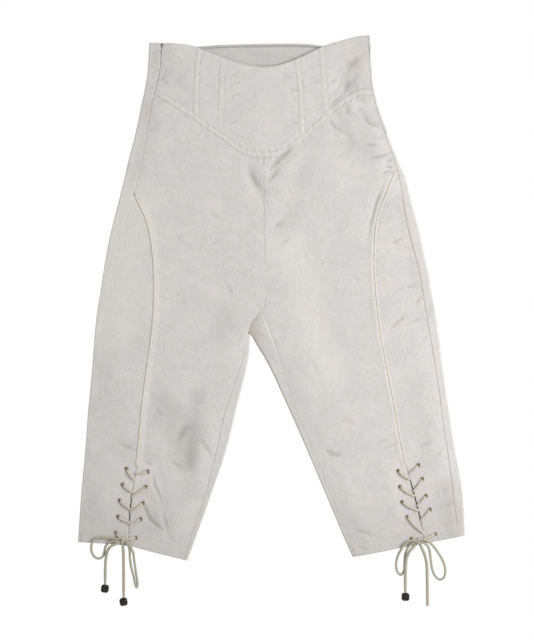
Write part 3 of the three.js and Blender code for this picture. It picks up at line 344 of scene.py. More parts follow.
# ---- Lines ----
def smooth(rows: Points, key: int = 0, value: int = 1) -> Line:
    """Makes a smooth line through two columns of a table.

    Args:
        rows: The table's rows.
        key: The column that the line is read by.
        value: The column that it gives.

    Returns:
        A function of the key column's quantity, straight past the table's ends.
    """
    points = sorted((row[key], row[value]) for row in rows if not math.isnan(row[key] + row[value]))
    at, to = (np.array(column) for column in zip(*points))
    rise = np.diff(to) / np.diff(at)
    slopes = np.concatenate([rise[:1], (to[2:] - to[:-2]) / (at[2:] - at[:-2]), rise[-1:]])

    def line(x: Array) -> Array:
        """Gives the value at x.

        Args:
            x: Where to read the line.

        Returns:
            The value, straight past the table's ends.
        """
        x = np.asarray(x, float)
        i = np.clip(np.searchsorted(at, x, side="left") - 1, 0, len(at) - 2)
        span = at[i + 1] - at[i]
        t = (x - at[i]) / span
        a, b = to[i], to[i + 1]
        start, end = slopes[i] * span, slopes[i + 1] * span
        inside = a + t * (start + t * (3 * (b - a) - 2 * start - end + t * (2 * (a - b) + start + end)))
        low = to[0] + rise[0] * (x - at[0])
        high = to[-1] + rise[-1] * (x - at[-1])
        return np.where(x < at[0], low, np.where(x > at[-1], high, inside))

    return line


def ease(t: Array) -> Array:
    """Gives a smooth step from 0 to 1 as t goes from 0 to 1."""
    c = np.clip(t, 0, 1)
    return c * c * (3 - 2 * c)


def mix(a: Array, b: Array, t: Array) -> Array:
    """Gives the value a share t of the way from a to b."""
    return a + (b - a) * t


def shifted(line: Line, by: float) -> Line:
    """Gives the line moved by an amount."""
    return lambda at: line(at) + by


def level(height: float) -> Line:
    """Gives a line across the garment at one height."""
    return lambda x: height + 0.0 * x


@dataclass(frozen=True)
class LegLines:
    """The cutting lines of one leg, each x by height, and its hem, y by x."""

    side_of: Side
    outer: Line
    side: Line
    piped: Line
    inseam: Line
    inner: Line
    hem: Line

    @classmethod
    def of(cls, side: Side) -> "LegLines":
        """Reads a leg's lines from the tables."""
        columns = {name: smooth(LEG_ROWS[side], 0, i) for i, name in enumerate(LEG_COLUMNS) if i}
        return cls(side_of=side, hem=smooth(HEM[side]), **columns)


RIGHT, LEFT = LegLines.of(Side.RIGHT), LegLines.of(Side.LEFT)
front_top, back_top, welt_upper = smooth(FRONT_TOP), smooth(BACK_TOP), smooth(WELT_UPPER)
slit_half = {side: smooth(rows) for side, rows in SLIT_HALF.items()}


# ---- How the cloth lies ----
def fold_distance(x: Array, y: Array) -> Array:
    """Measures how far a place is from the nearest fold: a side, an inner leg or the crotch.

    Args:
        x: Where across.
        y: Where up.

    Returns:
        The distance, or 0 beyond the folds.
    """
    apex = np.hypot(x - CROTCH_X, y - CROTCH_Y)
    inner = np.where(x < CROTCH_X, RIGHT.inner(y) - x, x - LEFT.inner(y))
    parting = np.where(y < CROTCH_Y, inner, apex)
    return np.maximum(np.minimum(np.minimum(x - RIGHT.outer(y), LEFT.outer(y) - x), parting), 0)


def trough(x: Array, y: Array, row: Sequence[float], tapered: bool) -> Array:
    """Gives the depth of one fold or crease.

    Args:
        x: Where across.
        y: Where up.
        row: Its half width and depth, then the x and y of each point along it.
        tapered: Whether it is a crease, which fades towards both ends and leans to one side. The cloth was
            smoothed towards the hips, so each crease is steep on one side and gentle on the other.

    Returns:
        The depth at each point.
    """
    half, depth, *places = row
    corners = np.array(places, float).reshape(-1, 2)
    runs = np.diff(corners, axis=0)
    lengths = np.hypot(*runs.T)
    away, share, off_x, off_y = np.full(np.shape(x), 1e9), 0.0, 0.0, 0.0
    for corner, run, length, before in zip(corners, runs, lengths, np.cumsum(lengths) - lengths):
        t = np.clip(((x - corner[0]) * run[0] + (y - corner[1]) * run[1]) / length**2, 0, 1)
        dx, dy = x - corner[0] - t * run[0], y - corner[1] - t * run[1]
        distance = np.hypot(dx, dy)
        nearer = distance < away
        away = np.where(nearer, distance, away)
        off_x, off_y = np.where(nearer, dx, off_x), np.where(nearer, dy, off_y)
        share = np.where(nearer, (before + t * length) / lengths.sum(), share)
    if not tapered:
        return depth * ease(1 - away / half)
    steep = 0.5 + 0.5 * (LEAN[0] * off_x + LEAN[1] * off_y) / np.maximum(away, 1e-6)
    reach = half * mix(1.9, 0.8, ease(steep))
    fade = ease(1.3 - np.abs(2 * share - 1) * 1.15)
    return depth * ease(1 - away / reach) * fade


def lumps(x: Array, y: Array, cell: float, seed: float) -> Array:
    """Gives a smooth unevenness from -1 to 1.

    Args:
        x: Where across.
        y: Where up.
        cell: The usual distance from a rise to a hollow.
        seed: Which pattern of rises and hollows.

    Returns:
        The same value for the same place, on every run.
    """
    gx, gy = np.asarray(x, float) / cell, np.asarray(y, float) / cell
    i, j = np.floor(gx), np.floor(gy)

    def corner(di: int, dj: int) -> Array:
        """Gives a lattice corner's own height."""
        mixed = np.sin((i + di) * 12.9898 + (j + dj) * 78.233 + seed * 37.719) * 43758.5453
        return 2 * (mixed - np.floor(mixed)) - 1

    u, v = ease(gx - i), ease(gy - j)
    return mix(mix(corner(0, 0), corner(1, 0), u), mix(corner(0, 1), corner(1, 1), u), v)


def ripple(x: Array, y: Array) -> Array:
    """Gives the cloth's own unevenness, up to a millimetre up and down.

    Args:
        x: Where across.
        y: Where up.

    Returns:
        How far the cloth rises, or sinks below 0.
    """
    lean = 0.35 * y
    slow = 0.62 * lumps(x + lean, y, 62, 1) + 0.34 * lumps(x - lean, 1.3 * y, 31, 2)
    return slow + 0.13 * lumps(x, 1.5 * y + 0.3 * x, 15, 3) + 0.045 * lumps(x, y, 7, 4)


@dataclass(frozen=True)
class SewnLine:
    """A row of sewing that gathers the cloth beside it into short, uneven puckers."""

    line: Line
    along_x: bool  # whether the line is y by x, and not x by y
    start: float
    end: float
    depth: float
    reach: float
    pitch: float = 9.5

    def puckers(self, x: Array, y: Array) -> Array:
        """Puckers the cloth on both sides of the row, more in some places than in others.

        Args:
            x: Where across.
            y: Where up.

        Returns:
            How far the cloth rises, or sinks below 0.
        """
        s, t = (x, y) if self.along_x else (y, x)
        away = t - self.line(s)
        near = ease(1 - np.abs(away) / self.reach) * ease(np.abs(away) / 2.6)
        near = near * ease((s - self.start) / 12) * ease((self.end - s) / 12)
        hand = np.where(away > 0, 3.1, 0.0)
        slant = s + 0.22 * np.abs(away) + 5.5 * lumps(s, hand * 9, 37, self.pitch)
        strength = 0.5 + 0.6 * lumps(s, hand * 7, 23, self.pitch + 2)
        return self.depth * near * strength * np.sin(2 * math.pi * slant / self.pitch + hand)


def centre_line(y: Array) -> Array:
    """Follows the centre seam, and below the crotch bend the right leg's edge."""
    return np.where(y > CROTCH_BEND_Y, (RIGHT.inseam(y) + LEFT.inseam(y)) / 2, RIGHT.inseam(y))


SEWN_LINES = (
    SewnLine(shifted(welt_upper, -WELT_WIDTH / 2), True, -186, 160, 0.42, 17, 10.5),
    *(
        SewnLine(smooth(rows, 1, 0), False, rows[-1][1], rows[0][1] + 4, 0.34, 20, pitch)
        for pitch, (rows, _) in zip((9.5, 8.6, 9.1, 10.2), CHANNELS.values())
    ),
    SewnLine(RIGHT.piped, False, -255, 170, 0.24, 14, 9.0),
    SewnLine(LEFT.piped, False, -255, 206, 0.3, 17, 9.6),
    SewnLine(RIGHT.side, False, 150, 400, 0.3, 12, 8.8),
    SewnLine(LEFT.side, False, -250, 400, 0.26, 12, 10.0),
    SewnLine(centre_line, False, -20, 212, 0.2, 14, 11.0),
    SewnLine(RIGHT.inseam, False, -390, -60, 0.14, 12, 11.4),
    SewnLine(LEFT.inseam, False, -390, -60, 0.14, 12, 10.7),
)


def front_height(x: Array, y: Array) -> Array:
    """Gives how high the outer face of the front lies, with its folds, creases and puckers.

    Args:
        x: Where across.
        y: Where up.

    Returns:
        The height over the floor.
    """
    lift = LOFT * ease(fold_distance(x, y) / LOFT_REACH)
    folds = sum(trough(x, y, row, False) for row in FOLDS)
    creases = sum(trough(x, y, row, True) for row in CREASES)
    quiet = ease(fold_distance(x, y) / 12)
    sewn = sum(row.puckers(x, y) for row in SEWN_LINES)
    return FOLD_HEIGHT + lift - np.minimum(folds, 2.4) - creases + ripple(x, y) * quiet + sewn


def seam_shade(x: Array, y: Array) -> Array:
    """Gives the painted soft shade along the sewn lines of the legs.

    Args:
        x: Where across.
        y: Where up.

    Returns:
        How much painted shade the cloth takes. It fades out down the centre seam and towards the hem of the
        left side seam.
    """
    left_side = 0.55 * ease(1 - np.abs(x - LEFT.side(y)) / 2.0) * ease((y + 330) / 60)
    centre = 0.5 * ease(1 - np.abs(x - centre_line(y)) / 1.9) * ease((y - 20) / 90)
    centre = centre * (y < CENTRE_SEAM_TOP_Y + 4)
    right_inner = 0.3 * ease(1 - np.abs(x - RIGHT.inseam(y)) / 2.4) * ease((-70 - y) / 20)
    left_inner = 0.25 * ease(1 - np.abs(x - LEFT.inseam(y)) / 2.4) * ease((-70 - y) / 20)
    return np.max([left_side, centre, right_inner, left_inner], axis=0)


def painted_shade_map(x: Array, y: Array) -> Array:
    """Gives how much painted shade the front takes.

    Args:
        x: Where across.
        y: Where up.

    Returns:
        About 1 in sharp creases, less beside sewn lines and along the strokes of painted shade, below 0
        where painted highlight is laid.
    """
    creased = np.clip(sum(trough(x, y, row, True) ** 2 for row in CREASES), 0, 1.2) + seam_shade(x, y)
    beside_band = np.abs(y - welt_upper(x) + WELT_WIDTH / 2) - WELT_WIDTH / 2
    band_shade = 0.42 * ease(1 - np.abs(beside_band - 0.6) / 2.6)
    lines = [smooth(rows, 1, 0)(y) for rows, _ in CHANNELS.values()]
    beside_channel = np.min([np.abs(np.abs(x - line) - CHANNEL_WIDTH / 2) for line in lines], axis=0)
    channel_shade = 0.34 * ease(1 - beside_channel / 1.7) * ease((y - welt_upper(x) - 1) / 3)
    return creased + np.maximum(band_shade, channel_shade) + sum(trough(x, y, row, False) for row in PAINTED_SHADE_STROKES)


def zip_gap(y: Array) -> Array:
    """Gives half the width of the zip's groove, which closes up below the waist."""
    return mix(0.12, 0.3, ease((y - 250) / 70))


def floor_height(x: Array, y: Array) -> Array:
    """Gives how high the backs lie: on the floor, but for their creases and the top edge.

    Args:
        x: Where across.
        y: Where up.

    Returns:
        The height over the floor.
    """
    rim = 2.4 * (1 - ease((back_top(x) - y - 2.0) / 1.3)) * ease((100 - np.abs(x + 10)) / 30)
    soft = 0.25 * (1 + lumps(x, y, 30, 8)) * ease((y - 335) / 20)
    return sum(trough(x, y, row, False) for row in BACK_CREASES) + rim + soft


# ---- Meshes ----
def add_grid(
    bm: BMesh, points: Array, uv: Array, flip: bool = False,
    shade: Array | None = None,
) -> None:
    """Adds a sheet of quads to a mesh.

    Args:
        bm: The mesh, with a UV layer.
        points: Rows by columns by x, y, z, in millimetres.
        uv: Rows by columns by u, v, in millimetres of cloth.
        flip: Whether the faces are turned over.
        shade: Rows by columns, how much painted shade each point takes, below 0 painted highlight, or none.
    """
    rows, cols = points.shape[0] - 1, points.shape[1] - 1
    # The "shade" layer carries painted shade, and below 0 painted highlight, into the brocade's colour.
    depth = bm.verts.layers.float.get("shade") or bm.verts.layers.float.new("shade")
    bm.loops.layers.uv.get("UVMap") or bm.loops.layers.uv.new("UVMap")
    made = bmesh.ops.create_grid(bm, x_segments=cols, y_segments=rows, size=1.0)["verts"]
    layer = bm.loops.layers.uv["UVMap"]
    places = {}
    for vert in made:
        c = round((vert.co.x + 1) / 2 * cols)
        r = round((vert.co.y + 1) / 2 * rows)
        places[vert] = (r, c)
    flat_points = points * MM
    flat_uv = uv * MM
    faces = {face for vert in made for face in vert.link_faces}
    for vert, (r, c) in places.items():
        vert.co = flat_points[r, c]
        if shade is not None:
            vert[depth] = shade[r, c]
    for face in faces:
        face.smooth = True
        for loop in face.loops:
            loop[layer].uv = flat_uv[places[loop.vert]]
    if flip:
        bmesh.ops.reverse_faces(bm, faces=list(faces))


def add_tube(bm: BMesh, path: Array, radii: float | Array, sides: int = 12) -> None:
    """Adds a round cord with closed ends to a mesh.

    Args:
        bm: The mesh.
        path: The ring centres, in millimetres.
        radii: The cord's radius in millimetres, or one for each ring.
        sides: Points round it.
    """
    radii = np.broadcast_to(radii, len(path))
    radius = float(radii[0])
    steps = np.linalg.norm(np.diff(path, axis=0), axis=1)
    run = np.concatenate([[0], np.cumsum(steps)])
    tangents = np.gradient(path, run, axis=0)
    tangents /= np.linalg.norm(tangents, axis=1)[:, None]
    up = np.array([0.0, 0.0, 1.0])
    across = np.cross(tangents, up)
    slack = np.linalg.norm(across, axis=1) < 0.2
    across[slack] = np.nan
    across = carried(across, tangents)
    over = np.cross(across, tangents)
    angles = np.linspace(0, 2 * math.pi, sides + 1)
    sideways, upwards = np.cos(angles)[None, :, None], np.sin(angles)[None, :, None]
    ring = sideways * across[:, None, :] + upwards * over[:, None, :]
    points = path[:, None, :] + radii[:, None, None] * ring
    # A rounded tip closes each end.
    tips = [(path[0], tangents[0], -1, 0), (path[-1], tangents[-1], 1, -1)]
    for centre, tangent, way, end in tips:
        dome = [
            centre + radius * 0.45 * way * tangent + radius * 0.78 * ring[end],
            centre[None, :] + radius * 0.62 * way * tangent + radius * 0.04 * ring[end],
        ]
        if way < 0:
            points = np.concatenate([dome[::-1], points])
            run = np.concatenate([[run[0] - radius, run[0] - 0.4 * radius], run])
        else:
            points = np.concatenate([points, dome])
            run = np.concatenate([run, [run[-1] + 0.4 * radius, run[-1] + radius]])
    u = np.broadcast_to(angles * radius, points.shape[:2])
    v = np.broadcast_to(run[:, None], points.shape[:2])
    before = len(bm.verts)
    add_grid(bm, points, np.stack([u, v], axis=-1))
    bm.verts.ensure_lookup_table()
    bmesh.ops.remove_doubles(bm, verts=bm.verts[before:], dist=1e-6)
    loose_ends = [edge for edge in bm.edges if edge.is_boundary]
    bmesh.ops.holes_fill(bm, edges=loose_ends, sides=sides + 1)


def smooth_faces(bm: BMesh) -> None:
    """Shades every face of a mesh smooth."""
    for face in bm.faces:
        face.smooth = True


def add_grain(
    bm: BMesh, middle: Sequence[float], half: Sequence[float], turn: Matrix | None = None
) -> None:
    """Adds a small rounded grain: a stitch or a tooth.

    Args:
        bm: The mesh.
        middle: Its middle, in millimetres.
        half: Half its length, width and height, in millimetres.
        turn: How it is turned, or none.
    """
    size = Matrix.Diagonal(Vector(half) * MM).to_4x4()
    place = Matrix.Translation(Vector(middle) * MM) @ (turn or Matrix.Identity(4)) @ size
    bmesh.ops.create_icosphere(bm, subdivisions=1, radius=1.0, matrix=place)


def pierce(bm: BMesh, place: tuple[float, float], radius: float) -> None:
    """Opens a round hole in a sheet that lies flat.

    Args:
        bm: The mesh.
        place: The hole's middle, in millimetres.
        radius: Its radius in millimetres.
    """
    middle = Vector((*place, 0)) * MM
    reach = radius * MM
    inside = [face for face in bm.faces if (face.calc_center_median().xy - middle.xy).length < reach]
    bmesh.ops.delete(bm, geom=inside, context="FACES")
    for vert in bm.verts:
        away = vert.co.xy - middle.xy
        if away.length < reach:
            vert.co.xy = middle.xy + away.normalized() * reach


def carried(across: Array, tangents: Array) -> Array:
    """Fills in the sideways direction where a path runs straight up or down.

    Args:
        across: A sideways direction for each point, or not-a-number where there is none.
        tangents: The path's direction at each point.

    Returns:
        Unit directions square to the path, each turned as little as possible from the one before.
    """
    known = np.where(~np.isnan(across[:, 0]))[0]
    first = across[known[0]] if len(known) else np.array([1.0, 0.0, 0.0])
    out = np.empty_like(across)
    last = first / np.linalg.norm(first)
    for i, tangent in enumerate(tangents):
        side = last - tangent * np.dot(last, tangent)
        last = side / np.linalg.norm(side)
        out[i] = last
    return out


def finish_piece(
    bm: BMesh, name: str, finish: "Finish", nodes: Sequence[str] = (), thickness: float = 0.0
) -> Piece:
    """Turns a mesh into a dressed piece that rides on the garment.

    Args:
        bm: The mesh, which is freed.
        name: The piece's name.
        finish: What it is made of.
        nodes: The model's nodes that it stands for.
        thickness: How thick a sheet becomes, inwards, in millimetres, or 0 for a closed mesh.

    Returns:
        The piece.
    """
    mesh = bpy.data.meshes.new(name)
    bm.to_mesh(mesh)
    bm.free()
    piece = bpy.data.objects.new(name, mesh)
    bpy.context.scene.collection.objects.link(piece)
    mesh.materials.append(finish.material())
    if thickness:
        wall = piece.modifiers.new("Cloth thickness", "SOLIDIFY")
        wall.thickness = thickness * MM
        wall.offset = -1
    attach(piece, "root")
    if nodes:
        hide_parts(*nodes)
    log.info("%s: %d vertices", name, len(mesh.vertices))
    return piece


# ---- Finishes ----
@dataclass
class Graph:
    """A material's node tree, with short ways to add to it."""

    tree: bpy.types.NodeTree

    def node(self, kind: str, **settings: object) -> bpy.types.Node:
        """Adds a node.

        Args:
            kind: Its type, without the ShaderNode prefix.
            settings: Its properties.

        Returns:
            The node.
        """
        made = self.tree.nodes.new(f"ShaderNode{kind}")
        for key, value in settings.items():
            setattr(made, key, value)
        return made

    def put(self, socket: Socket, value: object) -> None:
        """Links an output to a socket, or sets the socket's own value.

        Args:
            socket: An input.
            value: What goes into it.
        """
        if isinstance(value, Socket):
            self.tree.links.new(value, socket)
        else:
            socket.default_value = value

    def math(self, operation: str, a: object, b: object = 0.0, c: object = 0.0) -> Socket:
        """Adds a Math node and gives its result.

        Args:
            operation: What it does.
            a: Its first value.
            b: Its second.
            c: Its third.

        Returns:
            The result.
        """
        made = self.node("Math", operation=operation)
        for socket, value in zip(made.inputs, (a, b, c)):
            self.put(socket, value)
        return made.outputs[0]

    def step(self, value: object, low: float, high: float) -> Socket:
        """Gives a smooth 0 to 1 as a value goes from low to high.

        Args:
            value: What is read.
            low: Where it starts to rise.
            high: Where it is 1.

        Returns:
            The step.
        """
        made = self.node("MapRange", interpolation_type="SMOOTHSTEP")
        for socket, setting in zip(made.inputs, (value, low, high, 0.0, 1.0)):
            self.put(socket, setting)
        return made.outputs[0]

    def blend(self, share: object, a: object, b: object) -> Socket:
        """Mixes two colours and gives the result.

        Args:
            share: How much of the second.
            a: The first.
            b: The second.

        Returns:
            The mixed colour.
        """
        made = self.node("Mix", data_type="RGBA")
        self.put(made.inputs[0], share)
        self.put(made.inputs[6], a)
        self.put(made.inputs[7], b)
        return made.outputs[2]

    def fill(self, node: bpy.types.Node, settings: dict[str, float]) -> None:
        """Sets the inputs of a node that have one value all over."""
        for name, value in settings.items():
            node.inputs[name].default_value = value

    def times(self, *values: object) -> Socket:
        """Multiplies values, one after the other.

        Args:
            values: Outputs or numbers.

        Returns:
            Their product.
        """
        product = values[0]
        for value in values[1:]:
            product = self.math("MULTIPLY", product, value)
        return product

    def bumped(self, height: object, strength: float, distance: float) -> Socket:
        """Raises a surface.

        Args:
            height: How high each place is, from 0 to about 1.
            strength: How strongly it shows.
            distance: What a height of 1 stands for, in metres.

        Returns:
            The bumped normal.
        """
        bump = self.node("Bump")
        self.fill(bump, {"Strength": strength, "Distance": distance})
        self.put(bump.inputs["Height"], height)
        return bump.outputs[0]

    def noise(self, vector: object, scale: float, detail: float = 2.0) -> bpy.types.Node:
        """Adds a noise texture in patterns per metre.

        Args:
            vector: Where it is read.
            scale: Patterns a metre.
            detail: How many finer layers it has.

        Returns:
            The node.
        """
        made = self.node("TexNoise")
        self.put(made.inputs["Vector"], vector)
        self.fill(made, {"Scale": scale, "Detail": detail})
        return made


class Finish:
    """What a piece is made of. Each kind makes its material once."""

    label: str  # the material's name
    slot: str = "brocade"
    _made: dict[str, bpy.types.Material] = {}

    def dress(self, graph: Graph, shader: bpy.types.Node) -> None:
        """Fills in the material's nodes."""
        raise NotImplementedError

    def material(self) -> bpy.types.Material:
        """Gives the material, made on first use.

        Returns:
            The one material of this finish.
        """
        if self.label not in self._made:
            material = bpy.data.materials.new(self.label)
            material.use_nodes = True
            graph = Graph(material.node_tree)
            self.dress(graph, material.node_tree.nodes["Principled BSDF"])
            self._made[self.label] = material
        return self._made[self.label]


def rgba(red: float, green: float, blue: float) -> tuple[float, float, float, float]:
    """Gives a linear colour from one on the usual 0 to 255 scale."""
    shares = (red / 255, green / 255, blue / 255)
    return (*(c / 12.92 if c < 0.0404 else ((c + 0.055) / 1.055) ** 2.4 for c in shares), 1.0)


@dataclass(frozen=True)
class Brocade(Finish):
    """Ivory brocade: scrolls and teardrops in a raised matt weave on a satin ground."""

    label: str = "ivory_brocade"
    ground: Colour = (217, 212, 209)
    motif: Colour = (206, 202, 195)
    petal: Colour = (209, 206, 190)
    cool: Colour = (212, 208, 208)
    # crest is the colour of painted highlight and hollow the colour of painted shade, both laid by the
    # "shade" layer.
    crest: Colour = (228, 224, 215)
    hollow: Colour = (150, 144, 136)
    motif_size: float = 0.052
    relief: float = 0.0003

    def dress(self, graph: Graph, shader: bpy.types.Node) -> None:
        """Draws the pattern on the cloth's own UV map, in metres of cloth.

        Args:
            graph: The material's nodes.
            shader: Its shader.
        """
        cloth = graph.node("UVMap", uv_map="UVMap").outputs[0]
        swirl = self.pushed(graph, cloth, 26, 0.026)
        cells = graph.node("TexVoronoi", feature="F1")
        graph.put(cells.inputs["Vector"], swirl)
        graph.fill(cells, {"Scale": 1 / self.motif_size, "Randomness": 0.85})
        far = cells.outputs["Distance"]
        chance = graph.node("SeparateColor")
        graph.put(chance.inputs[0], cells.outputs["Color"])
        rings = self.strokes(graph, graph.math("MULTIPLY", far, 24.0), 0.8, 0.97)
        inside = graph.step(far, 0.44, 0.38)
        chosen = graph.math("GREATER_THAN", chance.outputs[0], 0.35)
        drop = graph.times(rings, inside, chosen, 0.7)
        flow = graph.noise(swirl, 40, 0.8).outputs[0]
        scroll = self.strokes(graph, graph.math("MULTIPLY", flow, 38.0), 0.8, 0.98)
        open_ground = graph.math("SUBTRACT", 1.0, graph.math("MULTIPLY", inside, chosen))
        broken = graph.step(graph.noise(cloth, 95, 1).outputs[0], 0.42, 0.56)
        scroll = graph.times(scroll, open_ground, broken)
        sprigs = graph.node("TexVoronoi", feature="DISTANCE_TO_EDGE")
        graph.put(sprigs.inputs["Vector"], self.pushed(graph, cloth, 140, 0.007))
        sprigs.inputs["Scale"].default_value = 95
        twig = graph.step(sprigs.outputs["Distance"], 0.14, 0.05)
        scatter = graph.step(graph.noise(swirl, 70, 1).outputs[0], 0.5, 0.6)
        twigs = graph.times(twig, scatter, 0.8)
        figure = graph.math("MAXIMUM", graph.math("MAXIMUM", drop, scroll), twigs)
        patches = graph.step(graph.noise(cloth, 24, 4).outputs[0], 0.36, 0.64)
        ground = graph.blend(patches, rgba(*self.ground), rgba(*self.cool))
        leaves = graph.noise(self.pushed(graph, cloth, 60, 0.02), 78, 1.2).outputs[0]
        petals = graph.step(leaves, 0.5, 0.62)
        base = graph.blend(graph.math("MULTIPLY", petals, 0.26), ground, rgba(*self.petal))
        worn = graph.step(graph.noise(cloth, 21, 1).outputs[0], 0.25, 0.65)
        fading = graph.math("MULTIPLY_ADD", worn, 0.65, 0.12)
        faded = graph.math("MULTIPLY", figure, fading)
        woven = graph.blend(faded, base, rgba(*self.motif))
        # Painted shade towards the hollow colour where the "shade" layer is above 0, painted highlight
        # towards the crest colour where it is below 0.
        depth = graph.node("Attribute", attribute_name="shade").outputs["Fac"]
        sunk = graph.blend(graph.math("MULTIPLY", depth, 0.36), woven, rgba(*self.hollow))
        crest = graph.blend(graph.math("MULTIPLY", depth, -0.7), sunk, rgba(*self.crest))
        graph.put(shader.inputs["Base Color"], crest)
        graph.put(shader.inputs["Roughness"], graph.math("MULTIPLY_ADD", figure, 0.18, 0.5))
        graph.fill(shader, {"Specular IOR Level": 0.32, "Sheen Weight": 0.12, "Sheen Roughness": 0.45})
        graph.put(shader.inputs["Normal"], self.bump(graph, cloth, figure))

    def pushed(
        self, graph: Graph, cloth: Socket, scale: float, reach: float
    ) -> Socket:
        """Bends places on the cloth, so that a regular pattern turns into scrolls.

        Args:
            graph: The material's nodes.
            cloth: Places on the cloth, in metres.
            scale: Bends a metre.
            reach: How far a place moves, in metres.

        Returns:
            The moved places.
        """
        push = graph.node("VectorMath", operation="MULTIPLY_ADD")
        graph.put(push.inputs[0], graph.noise(cloth, scale, 1.5).outputs["Color"])
        push.inputs[1].default_value = (reach, reach, 0)
        graph.put(push.inputs[2], cloth)
        return push.outputs[0]

    def strokes(
        self, graph: Graph, phase: Socket, low: float, high: float
    ) -> Socket:
        """Gives lines along the places where a phase passes a quarter or three quarters of a turn."""
        return graph.step(graph.math("ABSOLUTE", graph.math("SINE", phase)), low, high)

    def bump(
        self, graph: Graph, cloth: Socket, figure: Socket
    ) -> Socket:
        """Raises the figures, and gives the cloth its threads and a faint crepe.

        Args:
            graph: The material's nodes.
            cloth: Places on the cloth, in metres.
            figure: Where the pattern's figures are.

        Returns:
            The bumped normal.
        """
        split = graph.node("SeparateXYZ")
        graph.put(split.inputs[0], cloth)
        threads_a_metre = 2 * math.pi / 0.0007
        across = graph.math("SINE", graph.math("MULTIPLY", split.outputs[0], threads_a_metre))
        down = graph.math("SINE", graph.math("MULTIPLY", split.outputs[1], threads_a_metre))
        weave = graph.times(across, down, 0.12)
        crepe = graph.math("MULTIPLY", graph.noise(cloth, 300, 2).outputs[0], 0.5)
        height = graph.math("ADD", graph.math("ADD", figure, weave), crepe)
        return graph.bumped(height, 0.6, self.relief)


@dataclass(frozen=True)
class Braid(Finish):
    """Round braided cotton cord, drawn on the cord's own UV map in metres."""

    label: str = "cream_cord"
    crest: Colour = (220, 214, 201)
    hollow: Colour = (190, 183, 166)
    slot: str = "lace"
    pitch: float = 0.0026
    relief: float = 0.0003

    def dress(self, graph: Graph, shader: bpy.types.Node) -> None:
        """Crosses two sets of slanting strands.

        Args:
            graph: The material's nodes.
            shader: Its shader.
        """
        place = graph.node("UVMap", uv_map="UVMap").outputs[0]
        split = graph.node("SeparateXYZ")
        graph.put(split.inputs[0], place)
        turn = 2 * math.pi / self.pitch
        rise = graph.math("MULTIPLY", split.outputs[1], turn)
        round_it = graph.math("MULTIPLY", split.outputs[0], 2 * turn * 0.86)
        one = graph.math("SINE", graph.math("ADD", rise, round_it))
        two = graph.math("SINE", graph.math("SUBTRACT", rise, round_it))
        strands = graph.math("MULTIPLY_ADD", graph.math("MULTIPLY", one, two), 0.5, 0.5)
        fuzz = graph.noise(place, 900, 2).outputs[0]
        height = graph.math("MULTIPLY_ADD", fuzz, 0.3, strands)
        # The hollows between the strands take a painted shade.
        graph.put(shader.inputs["Base Color"], graph.blend(strands, rgba(*self.hollow), rgba(*self.crest)))
        graph.fill(shader, {"Roughness": 0.75, "Specular IOR Level": 0.25, "Sheen Weight": 0.2})
        graph.put(shader.inputs["Normal"], graph.bumped(height, 0.7, self.relief))


@dataclass(frozen=True)
class Satin(Finish):
    """Plain ivory satin on the bias, or sewing thread, read on Object coordinates."""

    label: str = "ivory_satin"
    colour: Colour = (219, 214, 203)
    shade: Colour = (208, 203, 192)
    roughness: float = 0.48
    slot: str = "piping"

    def dress(self, graph: Graph, shader: bpy.types.Node) -> None:
        """Gives it fine slanting threads and a little unevenness.

        Args:
            graph: The material's nodes.
            shader: Its shader.
        """
        place = graph.node("TexCoord").outputs["Object"]
        threads = graph.node("TexWave", wave_type="BANDS", bands_direction="DIAGONAL")
        graph.put(threads.inputs["Vector"], place)
        graph.fill(threads, {"Scale": 420, "Distortion": 1.0})
        uneven = graph.noise(place, 120, 3).outputs[0]
        graph.put(shader.inputs["Base Color"], graph.blend(uneven, rgba(*self.shade), rgba(*self.colour)))
        graph.fill(shader, {"Roughness": self.roughness, "Specular IOR Level": 0.4, "Sheen Weight": 0.1})
        height = graph.math("ADD", threads.outputs["Fac"], uneven)
        graph.put(shader.inputs["Normal"], graph.bumped(height, 0.4, 0.0001))


@dataclass(frozen=True)
class Metal(Finish):
    """Cast or stamped metal with a worn, uneven surface."""

    label: str
    colour: Colour
    worn: Colour
    roughness: float
    slot: str

    def dress(self, graph: Graph, shader: bpy.types.Node) -> None:
        """Mottles the colour and the gloss.

        Args:
            graph: The material's nodes.
            shader: Its shader.
        """
        place = graph.node("TexCoord").outputs["Object"]
        mottle = graph.step(graph.noise(place, 420, 4).outputs[0], 0.4, 0.66)
        graph.put(shader.inputs["Base Color"], graph.blend(mottle, rgba(*self.colour), rgba(*self.worn)))
        graph.put(shader.inputs["Roughness"], graph.math("MULTIPLY_ADD", mottle, 0.2, self.roughness))
        shader.inputs["Metallic"].default_value = 0.9
        pitted = graph.noise(place, 900, 3).outputs[0]
        graph.put(shader.inputs["Normal"], graph.bumped(pitted, 0.35, 0.0002))


BROCADE = Brocade()
# A copy of the brocade whose painted shade is warmer, for the shaded backs by the crotch.
BACK_BROCADE = Brocade("ivory_brocade_back", hollow=(152, 132, 104))
PIPING_SATIN = Satin()
THREAD = Satin("sewing_thread", (216, 211, 198), (196, 190, 176), 0.6, "brocade")
ZIP_COIL = Satin("zip_coil", (196, 194, 193), (182, 180, 180), 0.5, "zip_tape")
# Real stitches, coloured dark grey to give the painted shadow line under the back's top edge as well.
GREY_THREAD = Satin("grey_thread", (166, 167, 170), (148, 150, 154), 0.6, "brocade")
CORD = Braid()
